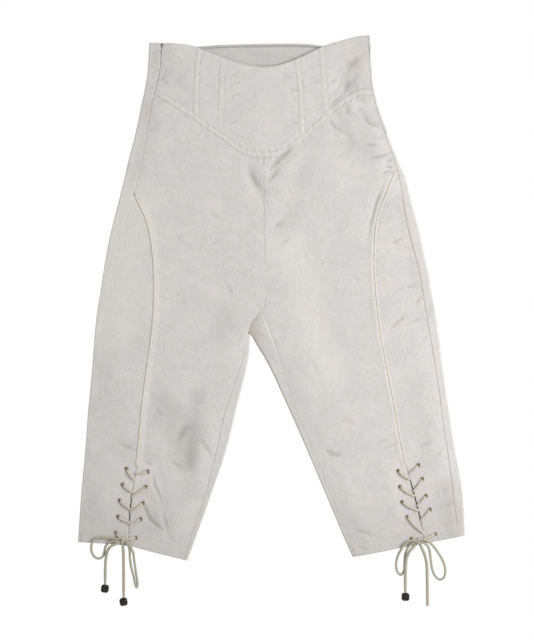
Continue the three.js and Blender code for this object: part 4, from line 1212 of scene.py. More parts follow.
# Darker copies of the same cord: painted shade on the free lengths, and a lighter painted shade on the knot.
FREE_CORD = Braid("free_cord_painted_shade", (198, 194, 177), (160, 156, 139))
KNOT_CORD = Braid("knot_cord_painted_shade", (206, 199, 184), (172, 164, 147))
EYELET_BRONZE = Metal("eyelet_bronze", (168, 157, 139), (198, 188, 168), 0.42, "eyelet")
BEAD_BRONZE = Metal("bead_bronze", (36, 33, 31), (86, 80, 72), 0.28, "bead")
SLIDER_NICKEL = Metal("slider_nickel", (120, 118, 124), (168, 166, 170), 0.3, "zip_slider")


# ---- Cloth panels ----
def spread(width: float, cell: float) -> Array:
    """Gives places from 0 to 1 across a width, closer together beside the two edges.

    Args:
        width: The width in millimetres.
        cell: The spacing away from the edges.

    Returns:
        The places, rising.
    """
    fine = [d for d in (0.0, 0.28, 0.9, 1.7, 2.6, 3.6) if d < width * 0.3]
    start, end = fine[-1], width - fine[-1]
    middle = np.linspace(start, end, max(2, round((end - start) / cell) + 1))
    return np.unique(np.round(np.concatenate([fine, middle, width - np.array(fine)]), 5)) / width


@dataclass
class ClothPanel:
    """A cut piece of cloth between two lines down it, x by y, and two across it, y by x."""

    name: str
    left: Line
    right: Line
    bottom: Line
    top: Line
    middle: tuple[float, float]
    cell: float = 3.0
    dips: tuple[float, float, float, float] = (0.32, 0.32, 0.32, 0.32)  # left, right, bottom, top
    reaches: tuple[float, float, float, float] = (2.2, 2.2, 2.2, 2.2)  # how far in each dip starts
    raised: Callable[..., Array] = field(default=lambda u, v, x, y: 0.0 * u)
    # How much painted highlight each point takes, below 0 painted shade:
    painted_light: Callable[..., Array] = field(default=lambda u, v, x, y: 0.0 * u)
    holes: Sequence[tuple[float, float]] = ()
    grain: tuple[float, float] = (0.0, 0.0)

    def layout(self) -> tuple[Array, Array, Array, Array]:
        """Finds where the panel's points lie.

        Returns:
            The shares across and up, and x and y, each rows by columns.
        """
        x0, y0 = self.middle
        width = float(self.right(y0) - self.left(y0))
        height = float(self.top(x0) - self.bottom(x0))
        u, v = np.meshgrid(spread(width, self.cell), spread(height, self.cell))
        x = np.full_like(u, x0)
        y = np.full_like(u, y0)
        for _ in range(60):
            y = mix(y, mix(self.bottom(x), self.top(x), v), 0.7)
            x = mix(x, mix(self.left(y), self.right(y), u), 0.7)
        return u, v, x, y

    def height(self, u: Array, v: Array, x: Array, y: Array) -> Array:
        """Turns the panel's edges down a little into the seams round it.

        Args:
            u: The share across.
            v: The share up.
            x: Where across.
            y: Where up.

        Returns:
            How high the outer face lies.
        """
        edges = (x - self.left(y), self.right(y) - x, y - self.bottom(x), self.top(x) - y)
        sunk = [dip * (1 - ease(edge / reach)) for dip, reach, edge in zip(self.dips, self.reaches, edges)]
        return front_height(x, y) - np.max(sunk, axis=0) + self.raised(u, v, x, y)

    def build(self, node: str) -> tuple[Piece, "Cut"]:
        """Makes the panel.

        Args:
            node: The model's node that it stands for.

        Returns:
            The piece and its cut.
        """
        u, v, x, y = self.layout()
        z = self.height(u, v, x, y)
        bm = bmesh.new()
        uv = np.stack([x + self.grain[0], y + self.grain[1]], axis=-1)
        add_grid(bm, np.stack([x, y, z], axis=-1), uv, shade=painted_shade_map(x, y) - self.painted_light(u, v, x, y))
        for place in self.holes:
            pierce(bm, place, Eyelet.bore + Eyelet.room)
        return finish_piece(bm, self.name, BROCADE, [node], CLOTH), cut_of(x, y)


@dataclass(frozen=True)
class Cut:
    """The flat size of a cut piece, in metres, and its area."""

    width: float
    length: float
    area: float


def cut_of(x: Array, y: Array) -> Cut:
    """Measures a flat panel's cut.

    Args:
        x: Its points' x, rows by columns, in millimetres.
        y: Their y.

    Returns:
        Its greatest width across, its length along the middle and its area.
    """
    widths = np.hypot(np.diff(x, axis=1), np.diff(y, axis=1)).sum(axis=1)
    lengths = np.hypot(np.diff(x, axis=0), np.diff(y, axis=0)).sum(axis=0)
    dx1, dy1 = x[1:, 1:] - x[:-1, :-1], y[1:, 1:] - y[:-1, :-1]
    dx2, dy2 = x[1:, :-1] - x[:-1, 1:], y[1:, :-1] - y[:-1, 1:]
    area = np.abs(dx1 * dy2 - dx2 * dy1).sum() / 2
    width, length = float(widths.max()), float(lengths.max())
    return Cut(width * MM, length * MM, float(min(area, width * length)) * MM * MM)


def declare(piece: Piece, cut: Cut, with_pieces: Iterable[Piece] = ()) -> None:
    """Logs a laid panel of cloth with its cut."""
    log.info("%s: cut %.3f x %.3f m, %.4f square metres", piece.name, cut.width, cut.length, cut.area)


@dataclass
class WaistFront:
    """The corset waist: panels, boning channels on their seams and the pointed band below them."""

    seam: float = -0.12  # each panel runs this far under its neighbour
    under: float = 0.6  # how far the panels run under the channels and the band
    rim: float = 1.35
    channel_raise: float = 0.05
    channel_crown: float = 0.15
    band_raise: float = 0.55

    def notch(self, y: Array) -> Array:
        """Gives how far each side of the zip opening leans away at the top."""
        return NOTCH_FLARE * ease((y - NOTCH_TOP_Y + NOTCH_DEPTH) / NOTCH_DEPTH)

    def build(self) -> None:
        """Makes the panels, the channels and the band."""
        lines = {name: smooth(rows, 1, 0) for name, (rows, _) in CHANNELS.items()}
        half = CHANNEL_WIDTH / 2 - self.under
        bottom = shifted(welt_upper, -self.under)
        zip_edge: Line = lambda y: RIGHT.side(y) + zip_gap(y) + self.notch(y)
        # From one channel to the next: each panel's name and a place in it.
        panels = (
            ("right_side", (-145, 345)), ("right_mid", (-96, 320)), ("centre", (-16, 295)),
            ("left_mid", (63, 325)), ("left_side", (120, 355)),
        )
        lefts = [zip_edge, *(shifted(line, half) for line in lines.values())]
        rights = [*(shifted(line, -half) for line in lines.values()), shifted(LEFT.side, -self.seam)]
        channels = [self.channel(name, lines[name], bottom) for name in CHANNELS]
        band = self.band()
        for i, ((name, middle), left, right) in enumerate(zip(panels, lefts, rights)):
            panel = ClothPanel(
                f"waist_{name}", left, right, bottom, front_top, middle, cell=1.9,
                dips=(0.35, 0.35, 0.35, self.rim), reaches=(0.9, 0.9, 0.9, 2.2), grain=(37.0 * i, 19.0 * i),
            )
            piece, cut = panel.build(f"waist_front_{name}")
            declare(piece, cut, [*channels, band] if name == "centre" else ())

    def channel(self, name: str, line: Line, bottom: Line) -> Piece:
        """Makes one boning channel, a narrow band over a panel seam.

        Args:
            name: Its place.
            line: Its middle line, x by y.
            bottom: The waist seam, y by x.

        Returns:
            The piece.
        """
        grooved = CHANNELS[name][1]

        def raised(u: Array, v: Array, x: Array, y: Array) -> Array:
            """Rounds the band over its bone, with a groove down the middle of a grooved one."""
            crown = np.sin((2 if grooved else 1) * math.pi * u) ** 2
            return self.channel_raise + self.channel_crown * crown

        def painted_light(u: Array, v: Array, x: Array, y: Array) -> Array:
            """Lays painted highlight on its ridges."""
            return 0.45 * np.sin((2 if grooved else 1) * math.pi * u) ** 2

        half = CHANNEL_WIDTH / 2 - self.seam
        y0 = 320.0
        panel = ClothPanel(
            f"channel_{name}", shifted(line, -half), shifted(line, half), bottom, front_top,
            (float(line(y0)), y0), cell=1.0, dips=(0.05, 0.05, 0.3, self.rim), raised=raised,
            painted_light=painted_light, grain=(5.0, 60.0),
        )
        return panel.build(f"boning_channel_{name}")[0]

    def band(self) -> Piece:
        """Makes the double-stitched band along the pointed waist seam.

        Returns:
            The piece.
        """

        def raised(u: Array, v: Array, x: Array, y: Array) -> Array:
            """Rounds the band either side of the row of stitches along it."""
            lower, upper = np.clip(v / 0.58, 0, 1), np.clip((v - 0.58) / 0.42, 0, 1)
            return self.band_raise * (np.sin(math.pi * lower) + 0.7 * np.sin(math.pi * upper))

        def painted_light(u: Array, v: Array, x: Array, y: Array) -> Array:
            """Lays painted highlight on its two ridges."""
            return 0.5 * raised(u, v, x, y) / self.band_raise

        panel = ClothPanel(
            "waist_band", lambda y: RIGHT.side(y) + zip_gap(y), shifted(LEFT.side, -self.seam),
            shifted(welt_upper, -WELT_WIDTH + self.seam), shifted(welt_upper, -self.seam),
            (-16, 220), cell=1.2, dips=(0.4, 0.2, 0.05, 0.05), raised=raised, painted_light=painted_light,
            grain=(120.0, 33.0),
        )
        return panel.build("waist_seam_welt")[0]


@dataclass
class Leg:
    """One leg: its front, the crescent beside the curved seam, its back and the piping."""

    lines: LegLines
    seam: float = -0.12  # each panel runs this far under its neighbour
    piping_clear: float = 1.15
    hem_stitch: float = 19.0

    @property
    def side(self) -> str:
        """Gives the side's name."""
        return self.lines.side_of.value

    def clear(self, y: Array) -> Array:
        """Gives half the gap at the curved seam: beside the piping, then at the open slit."""
        return mix(slit_half[self.lines.side_of](y), self.piping_clear, ease((y - SLIT_TOP_Y) / 8))

    def swell(self, u: Array, v: Array, x: Array, y: Array) -> Array:
        """Thickens the cloth over its turned-up hem and over the allowance inside the curved seam.

        Args:
            u: The share across.
            v: The share up.
            x: Where across.
            y: Where up.

        Returns:
            How far the cloth rises.
        """
        up = y - self.lines.hem(x)
        hem = 0.4 * (1 - ease((up - self.hem_stitch + 2) / 3))
        hem = hem - 0.35 * ease(1 - np.abs(up - self.hem_stitch) / 2.4)
        inside = (x - self.lines.piped(y)) * self.lines.side_of.inward
        band = ease(inside / 1.5) * (1 - ease((inside - 6.5) / 2))
        return hem + 0.45 * band * ease((up - 90) / 20) * ease((150 - y) / 20)

    def painted_light(self, u: Array, v: Array, x: Array, y: Array) -> Array:
        """Lays painted highlight on the raised band inside the curved seam, and painted shade towards the
        hem and along its edge.

        The right leg's edge, which laps over the left leg below the centre seam, takes painted highlight
        too.

        Args:
            u: The share across.
            v: The share up.
            x: Where across.
            y: Where up.

        Returns:
            How much painted highlight the cloth takes, or below 0 how much painted shade.
        """
        inside = (x - self.lines.piped(y)) * self.lines.side_of.inward
        along = ease((y - SLIT_TOP_Y) / 30) * ease((CURVED_SEAM_TOP_Y[self.lines.side_of] - y) / 30)
        up = y - self.lines.hem(x)
        # Painted shade, darker towards the hem, with a dark line along the hem's edge:
        dim = 0.5 * (1 - ease((up - 10) / 120)) + 0.8 * (1 - ease(up / 2.2))
        if self.lines is RIGHT:
            lapped = ease((y + 66) / 8) * ease((-5 - y) / 8)
            dim = dim - 1.2 * (1 - ease((centre_line(y) - x - 0.4) / 1.8)) * lapped
        return 0.75 * ease(inside / 2) * (1 - ease((inside - 5) / 3)) * along - dim

    def eyelets(self, row: str) -> Sequence[tuple[float, float]]:
        """Gives the places of a row of this leg's eyelets."""
        return EYELETS[self.lines.side_of][row]

    def front(self) -> tuple[Piece, Cut]:
        """Makes the front panel, from the waist band to the hem.

        Returns:
            The piece and its cut.
        """
        leg = self.lines
        inward = leg.side_of.inward
        top_y = CURVED_SEAM_TOP_Y[leg.side_of]
        zipped = leg.side_of is Side.RIGHT

        def curve(y: Array) -> Array:
            """Follows the curved seam, and above it the zip or the side seam.

            Args:
                y: Where up.

            Returns:
                The x of the front's outer edge.
            """
            above = ease((y - top_y + 4) / 6)
            clear = mix(self.clear(y), zip_gap(y) if zipped else self.seam, above)
            return mix(leg.piped(np.minimum(y, top_y + 2)), leg.side(y), above) + inward * clear

        def centre(y: Array) -> Array:
            """Follows the centre seam, shared by both legs, and below it this leg's inseam."""
            return mix(leg.inseam(y), centre_line(y), ease((y - CROTCH_BEND_Y) / 6))

        left, right = (curve, centre) if zipped else (centre, curve)
        panel = ClothPanel(
            f"{self.side}_leg_front", left, right, leg.hem,
            shifted(welt_upper, WaistFront.under - WELT_WIDTH),
            (-110.0 * inward - 10, 60.0), cell=2.1, reaches=(2.2, 2.2, 2.2, 0.9),
            raised=self.swell, painted_light=self.painted_light,
            dips=(0.2, 0.16, 0.25, 0.35) if zipped else (0.16, 0.2, 0.25, 0.35), holes=self.eyelets("inner"),
            grain=(15.0 if zipped else 240.0, 80.0),
        )
        return panel.build(f"leg_front_{self.side}")

    def crescent(self) -> tuple[Piece, Cut]:
        """Makes the side panel, between the curved seam and the side seam.

        Returns:
            The piece and its cut.
        """
        leg = self.lines
        inward = leg.side_of.inward
        piped: Line = lambda y: leg.piped(y) - inward * self.clear(y)

        def outer(y: Array) -> Array:
            """Follows the side seam, but never crosses the curved one."""
            return np.minimum(leg.side(y) * inward, piped(y) * inward - 0.3) * inward + inward * self.seam

        left, right = (outer, piped) if inward > 0 else (piped, outer)
        top_y = CURVED_SEAM_TOP_Y[leg.side_of] - 1
        panel = ClothPanel(
            f"{self.side}_leg_side", left, right, leg.hem, level(top_y),
            (-240.0 * inward, -100.0), cell=2.1, raised=self.swell, painted_light=self.painted_light,
            dips=(0.1, 0.3, 0.25, 0.0) if inward > 0 else (0.2, 0.2, 0.25, 0.0), holes=self.eyelets("outer"),
            grain=(300.0, 150.0 if inward > 0 else 20.0),
        )
        return panel.build(f"leg_side_{self.side}")

    def back(self) -> tuple[Piece, Cut]:
        """Makes the back panel, which lies on the floor and wraps round both edges of the leg.

        Returns:
            The piece and its cut.
        """
        leg = self.lines
        inward = leg.side_of.inward
        zipped = leg.side_of is Side.RIGHT
        centre: Line = lambda y: RIGHT.inseam(np.minimum(y, CENTRE_SEAM_TOP_Y)) - inward * self.seam

        def inner_floor(y: Array) -> Array:
            """Follows the inner fold's foot, and the centre back seam above the crotch."""
            foot = leg.inner(np.minimum(y, CROTCH_Y)) - inward * FoldedEdge.radius
            return mix(foot, centre(y), ease((y - CROTCH_Y) / 10))

        outer_floor: Line = lambda y: leg.outer(y) + inward * FoldedEdge.radius
        left, right = (outer_floor, inner_floor) if zipped else (inner_floor, outer_floor)
        top = level(BACK_WAIST_Y - self.seam)
        flat = FloorPanel(left, right, leg.hem, top, (-110.0 * inward, 0.0))
        bm = bmesh.new()
        areas = [flat.add_to(bm)]

        def side_seam(y: Array) -> Array:
            """Follows the side seam, and the zip's groove where there is one."""
            return leg.side(y) - inward * (zip_gap(y) * ease((y - 150) / 14) if zipped else self.seam)

        outer = FoldedEdge(leg.outer, side_seam, inward, leg.hem, top)
        areas.append(outer.add_to(bm, -110.0 * inward))
        joined: Line = lambda y: mix(
            leg.inner(np.minimum(y, CROTCH_Y)), RIGHT.inseam(y) - 3.0, ease((y - CROTCH_Y + 4) / 10)
        )
        lip_top = CROTCH_Y - 2 if zipped else LIP_TOP_Y
        inner = FoldedEdge(
            leg.inner if zipped else joined, shifted(leg.inseam, inward * self.seam), -inward, leg.hem,
            level(lip_top), hollow=0.0 if zipped else 1.3,
        )
        areas.append(inner.add_to(bm, -110.0 * inward))
        bmesh.ops.remove_doubles(bm, verts=bm.verts, dist=WELD)
        piece = finish_piece(bm, f"{self.side}_leg_back", BACK_BROCADE, [f"leg_back_{self.side}"], CLOTH)
        width = max(a.width for a in areas) + sum(a.width for a in areas[1:])
        length = max(a.length for a in areas)
        area = min(sum(a.area for a in areas), width * length)
        return piece, Cut(width, length, area)

    def piping(self) -> Piece:
        """Makes the corded piping in the curved seam, down to the top of the slit.

        Returns:
            The piece.
        """
        leg = self.lines
        y = np.arange(SLIT_TOP_Y + 3, CURVED_SEAM_TOP_Y[leg.side_of], 2.5)
        x = leg.piped(y)
        z = front_height(x, y) - PIPING_SINK + 0.12 * np.sin(y / 7.3) * np.sin(y / 3.1)
        bm = bmesh.new()
        add_tube(bm, np.stack([x, y, z], axis=-1), PIPING_RADIUS, 10)
        return finish_piece(bm, f"{self.side}_piping", PIPING_SATIN, [f"piping_{self.side}"])

    def build(self) -> None:
        """Makes the leg's pieces."""
        piping = self.piping()
        piece, cut = self.front()
        declare(piece, cut, [piping])
        declare(*self.crescent())
        declare(*self.back())


@dataclass
class FloorPanel:
    """The flat part of a back panel, on the floor."""

    left: Line
    right: Line
    bottom: Line
    top: Line
    middle: tuple[float, float]
    cell: float = 7.0
    # Painted shade all over the panel:
    painted_dimness: float = 0.0
    edge_shade: float = 0.0  # painted shadow along the stitches of its top edge

    def add_to(self, bm: BMesh) -> Cut:
        """Adds the sheet, facing down.

        Args:
            bm: The mesh.

        Returns:
            Its cut.
        """
        panel = ClothPanel("", self.left, self.right, self.bottom, self.top, self.middle, self.cell)
        _, _, x, y = panel.layout()
        edge = np.minimum(x - self.left(y), self.right(y) - x)
        z = floor_height(x, y) * ease(edge / 8)
        below_top = self.top(x) - y
        # Painted shade along the back's creases, all over and along the stitches of the top edge.
        creased = 0.7 * sum(trough(x, y, row, False) for row in BACK_CREASES)
        shade = self.painted_dimness + creased + self.edge_shade * ease(1 - np.abs(below_top - EDGE_ROW_DROP) / 3.0)
        add_grid(bm, np.stack([x, y, z], axis=-1), np.stack([x + 400, y + 90], axis=-1), True, shade)
        return cut_of(x, y)


@dataclass
class FoldedEdge:
    """The edge of a back panel: from the floor round a soft fold to a lip that ends at a front seam."""

    edge: Line
    seam: Line
    inward: int
    bottom: Line
    top: Line
    radius: float = FOLD_HEIGHT / 2
    cell: float = 1.7
    dip: float = 0.18
    hollow: float = 0.0  # how far the cloth sinks beside the crotch

    def add_to(self, bm: BMesh, middle_x: float) -> Cut:
        """Adds the fold's sheet.

        Args:
            bm: The mesh.
            middle_x: An x within the panel, for the height of its ends.

        Returns:
            Its cut, laid out flat.
        """
        turns = np.radians(np.linspace(-90, 78, 10))
        lip = np.linspace(0.1, 1, 10)
        low, high = float(self.bottom(self.edge(-390.0))), float(self.top(np.array(middle_x)))
        v = spread(high - low, self.cell)
        y = np.repeat(mix(low, high, v)[:, None], len(turns) + len(lip), axis=1)
        for _ in range(8):
            edge, tip = self.edge(y), self.seam(y)
            arc = edge[:, : len(turns)] + self.inward * self.radius * (1 - np.cos(turns))
            start = edge[:, len(turns) :] + self.inward * self.radius * 0.75
            x = np.concatenate([arc, mix(start, tip[:, len(turns) :], lip)], axis=1)
            y = mix(self.bottom(x), self.top(x), v[:, None])
        arc_z = np.broadcast_to(self.radius * (1 + np.sin(turns)), (len(v), len(turns)))
        sunk = self.hollow * ease((y + 100) / 42)
        lip_x, lip_y = x[:, len(turns) :], y[:, len(turns) :]
        lip_z = front_height(lip_x, lip_y) - sunk[:, len(turns) :] * (1 - lip) ** 0.8
        turned_in = (1 - ease(np.abs(self.seam(lip_y) - lip_x) / 2.2)) * ease((lip - 0.3) / 0.5)
        lip_z = lip_z - self.dip * turned_in
        arc_z = arc_z * (1 - sunk[:, : len(turns)] / (FOLD_HEIGHT + 0.5))
        points = np.stack([x, y, np.concatenate([arc_z, lip_z], axis=1)], axis=-1)
        across = np.linalg.norm(np.diff(points, axis=1), axis=2).cumsum(axis=1)
        u = np.concatenate([np.zeros((len(v), 1)), across], axis=1)
        # Painted shade: along the fold that lies in shadow by the crotch, over the lip beside the crotch
        # with painted highlight (below 0) towards its seam, and darker towards the hem.
        under = 1.6 * ease(self.hollow) * (1 - 0.6 * ease((-60 - y[:, : len(turns)]) / 250))
        crotch_painted_shade = sunk[:, len(turns) :] * ease((lip_y + 88) / 40) * (0.95 - 1.5 * lip)
        shade = np.concatenate([under, crotch_painted_shade], axis=1)
        shade += painted_shade_map(x, y) + 0.5 * (1 - ease((y - self.bottom(x) - 10) / 120)) * (y < 0)
        add_grid(bm, points, np.stack([self.inward * u, y], axis=-1), self.inward < 0, shade)
        return cut_of(u, y)


@dataclass
class WaistBack:
    """The back of the waist: flat on the floor, wrapped round to the zip and to the left side seam."""

    seam: float = 0.06

    def build(self) -> None:
        """Makes the panel and its top edge."""
        bm = bmesh.new()
        bottom = level(BACK_WAIST_Y + self.seam)
        radius = FoldedEdge.radius
        # The inside of the back takes painted shade all over and a painted shadow along its top edge.
        areas = [
            FloorPanel(shifted(RIGHT.outer, radius), shifted(LEFT.outer, -radius), bottom, back_top,
                       (-16.0, 355.0), cell=2.6, painted_dimness=0.5, edge_shade=1.0).add_to(bm)
        ]
        notch = WaistFront().notch
        zip_seam: Line = lambda y: RIGHT.side(y) - zip_gap(y) - notch(y)
        sides = (
            FoldedEdge(RIGHT.outer, zip_seam, 1, bottom, front_top),
            FoldedEdge(LEFT.outer, shifted(LEFT.side, self.seam), -1, bottom, front_top),
        )
        areas += [side.add_to(bm, x) for side, x in zip(sides, (-180.0, 150.0))]
        bmesh.ops.remove_doubles(bm, verts=bm.verts, dist=WELD)
        piece = finish_piece(bm, "waist_back_panel", BROCADE, ["waist_back"], CLOTH)
        width = sum(a.width for a in areas)
        length = max(a.length for a in areas)
        declare(piece, Cut(width, length, min(sum(a.area for a in areas), width * length)))


@dataclass
class SideZip:
    """The concealed zip in the wearer's right side seam: a narrow coil low in its groove, and the slider."""

    pitch: float = 1.3
    tooth: float = 0.62
    # The body and the tab: from and to how far above the coil, then half the width and the thickness.
    slider_parts: Points = ((0.5, 7.0, 0.95, 1.5), (6.0, 14.8, 1.35, 0.7))

    def build(self) -> None:
        """Makes the coil and the slider."""
        self.coil()
        self.slider()

    def coil(self) -> Piece:
        """Makes two rows of teeth that mesh along the groove.

        Returns:
            The piece.
        """
        bm = bmesh.new()
        for i, y in enumerate(np.arange(ZIP_BOTTOM_Y, ZIP_TOP_Y, self.pitch)):
            for hand in (-1, 1):
                at = y + (self.pitch / 2 if hand > 0 else 0)
                x = float(RIGHT.side(at)) + hand * 0.3
                z = float(front_height(x, at)) - 0.85
                add_grain(bm, (x, at, z), (0.72, self.tooth / 2, 0.4))
        smooth_faces(bm)
        return finish_piece(bm, "zip_coil", ZIP_COIL, ["side_zip"])

    def slider(self) -> Piece:
        """Makes the slider's body and its small tab, lying in the top of the groove.

        Returns:
            The piece.
        """
        bm = bmesh.new()
        for low, high, half, thick in self.slider_parts:
            y = ZIP_TOP_Y + (low + high) / 2
            x = float(RIGHT.side(y))
            z = float(front_height(x, y)) - 0.9
            size = Matrix.Diagonal(Vector((2 * half, high - low, thick)) * MM).to_4x4()
            place = Matrix.Translation(Vector((x, y, z)) * MM) @ size
            made = bmesh.ops.create_cube(bm, size=1.0, matrix=place)["verts"]
            edges = list({edge for vert in made for edge in vert.link_edges})
            bmesh.ops.bevel(
                bm, geom=edges, offset=0.3 * MM, segments=2, profile=0.5, affect="EDGES", material=-1
            )
        return finish_piece(bm, "zip_slider", SLIDER_NICKEL, ["side_zip_slider"])


# ---- Lacing ----
@dataclass
class Eyelet:
    """A pressed metal eyelet: a rolled flange on the cloth and a barrel through it."""

    bore: float = 1.85
    room: float = 0.5  # how much wider than its bore the hole in the cloth is
    flange: float = 3.6
    rise: float = 0.85
    segments: int = 24

    def build(self, name: str, x: float, y: float) -> Piece:
        """Spins the eyelet's section round its hole.

        Args:
            name: The node that it stands for.
            x: Its middle, across.
            y: Its middle, up.

        Returns:
            The piece.
        """
        top = float(front_height(np.array(x), np.array(y)))
        bore, flange, rise = self.bore, self.flange, self.rise
        section = (
            (bore, top - 2.2), (bore, top + 0.2), (bore + 0.22, top + rise * 0.8), (bore + 0.7, top + rise),
            (flange - 0.5, top + rise * 0.7), (flange - 0.08, top + 0.2), (flange, top - 0.12),
            (bore + 0.5, top - 0.2), (bore + 0.45, top - 2.2),
        )
        bm = bmesh.new()
        verts = [bm.verts.new(Vector((x + r, y, z)) * MM) for r, z in section]
        edges = [bm.edges.new(pair) for pair in zip(verts, verts[1:] + verts[:1])]
        bmesh.ops.spin(
            bm, geom=verts + edges, cent=Vector((x, y, 0)) * MM, axis=(0, 0, 1), angle=2 * math.pi,
            steps=self.segments, use_merge=True,
        )
        bmesh.ops.remove_doubles(bm, verts=bm.verts, dist=1e-6)
        bmesh.ops.recalc_face_normals(bm, faces=bm.faces)
        smooth_faces(bm)
        return finish_piece(bm, f"{name}_ring", EYELET_BRONZE, [name])


def spline(points: Points, step: float = 1.4) -> Array:
    """Runs a smooth cord through points.

    Args:
        points: x, y and z of the cord's middle, in millimetres.
        step: The spacing of the ring centres.

    Returns:
        The ring centres.
    """
    p = np.array(points, float)
    gaps = np.sqrt(np.linalg.norm(np.diff(p, axis=0), axis=1))
    knots = np.concatenate([[0], np.cumsum(gaps)])
    slopes = np.gradient(p, knots, axis=0)
    out = []
    for i in range(len(p) - 1):
        span = knots[i + 1] - knots[i]
        count = max(2, round(np.linalg.norm(p[i + 1] - p[i]) / step))
        t = np.linspace(0, 1, count, endpoint=False)[:, None]
        a, b, start, end = p[i], p[i + 1], slopes[i] * span, slopes[i + 1] * span
        out.append(a + t * (start + t * (3 * (b - a) - 2 * start - end + t * (2 * (a - b) + start + end))))
    return np.concatenate([*out, p[-1:]])


def cornered(points: Points, bend: float = 2.6, step: float = 1.2) -> Array:
    """Runs a cord straight between points, with rounded corners.

    Args:
        points: x, y and z of the corners, in millimetres.
        bend: How far from a corner its rounding starts.
        step: The spacing of the ring centres.

    Returns:
        The ring centres.
    """
    p = [np.array(point, float) for point in points]
    out = [p[0]]
    for before, at, after in zip(p, p[1:], p[2:]):
        ends = []
        for other in (before, after):
            run = other - at
            length = np.linalg.norm(run)
            ends.append(at + run * min(bend, length / 2) / length)
        start, end = ends
        for t in np.linspace(0, 1, 6):
            out.append((1 - t) ** 2 * start + 2 * t * (1 - t) * at + t * t * end)
    out.append(p[-1])
    dense = [out[0]]
    for point in out[1:]:
        gap = np.linalg.norm(point - dense[-1])
        if gap < 0.25:
            continue
        count = max(1, math.ceil(gap / step))
        dense += [mix(dense[-1], point, (i + 1) / count) for i in range(count)] if count > 1 else [point]
    return np.array(dense)


@dataclass
class LacedSlit:
    """Five pairs of eyelets down a slit and the lace threaded through them."""

    side: Side
    radius: float = 1.75
    squeezed: float = 1.15  # its radius inside an eyelet
    under: float = 3.2
    off_centre: float = 0.72  # how far towards the slit the lace leaves the eyelet's middle
    knot_reach: float = 6.5

    def build(self) -> None:
        """Makes the eyelets and the lace."""
        for row, places in EYELETS[self.side].items():
            for i, (x, y) in enumerate(places):
                Eyelet().build(f"eyelet_{self.side.value}_{row}_{i + 1}", x, y)
        bm = bmesh.new()
        route = cornered(self.path())
        eyelets = np.array([place for row in EYELETS[self.side].values() for place in row])
        away = np.linalg.norm(route[:, None, :2] - eyelets[None], axis=2).min(axis=1)
        add_tube(bm, route, mix(self.squeezed, self.radius, ease((away - 1.2) / 2.4)), 12)
        finish_piece(bm, f"{self.side.value}_threaded_lace", CORD, [f"lace_{self.side.value}"])

    def crossing(self, lines: LegLines, row: str, i: int) -> Array:
        """Gives where the strand from an eyelet crosses the slit."""
        y = CROSSINGS[self.side][row][i]
        return np.array([float(lines.piped(np.array(y))), y])

    def strand(self, first: str) -> list[tuple[float, float, float]]:
        """Follows one half of the lace from under a top eyelet down to the knot.

        Args:
            first: The row of the eyelet that it starts under.

        Returns:
            The strand's corners.
        """
        lines = RIGHT if self.side is Side.RIGHT else LEFT
        knot = np.array(KNOTS[self.side])
        points: list[tuple[float, float, float]] = []
        row = first
        for i in range(5):
            x, y = EYELETS[self.side][row][i]
            top = float(front_height(np.array(x), np.array(y)))
            goal = knot if i == 4 else self.crossing(lines, row, i) - (0, 3)
            way = (goal - (x, y)) / np.linalg.norm(goal - (x, y))
            inside, outside = (np.array([x, y]) + reach * way for reach in (self.off_centre, 2.7))
            points += [(*inside, self.under), (*inside, top - 0.3), (*outside, top + self.radius + 0.1)]
            if i == 4:
                points.append((*(knot - way * self.knot_reach), top + self.radius + 1.2))
                break
            x2, y2 = self.crossing(lines, row, i)
            over = float(front_height(np.array(x2), np.array(y2)))
            sag = 2.0 if row == "inner" and self.side is Side.LEFT else 0.9
            middle = mix(outside, np.array([x2, y2]), 0.35) - (0, sag)
            points += [(*middle, max(top, over) + self.radius + 0.35)]
            points += [(x2, y2, over + self.radius - 0.3), (x2, y2, self.under)]
            row = "inner" if row == "outer" else "outer"
        return points

    def path(self) -> list[tuple[float, float, float]]:
        """Gives the whole lace, from the knot up one strand and down the other."""
        return [*self.strand("outer")[::-1], *self.strand("inner")]


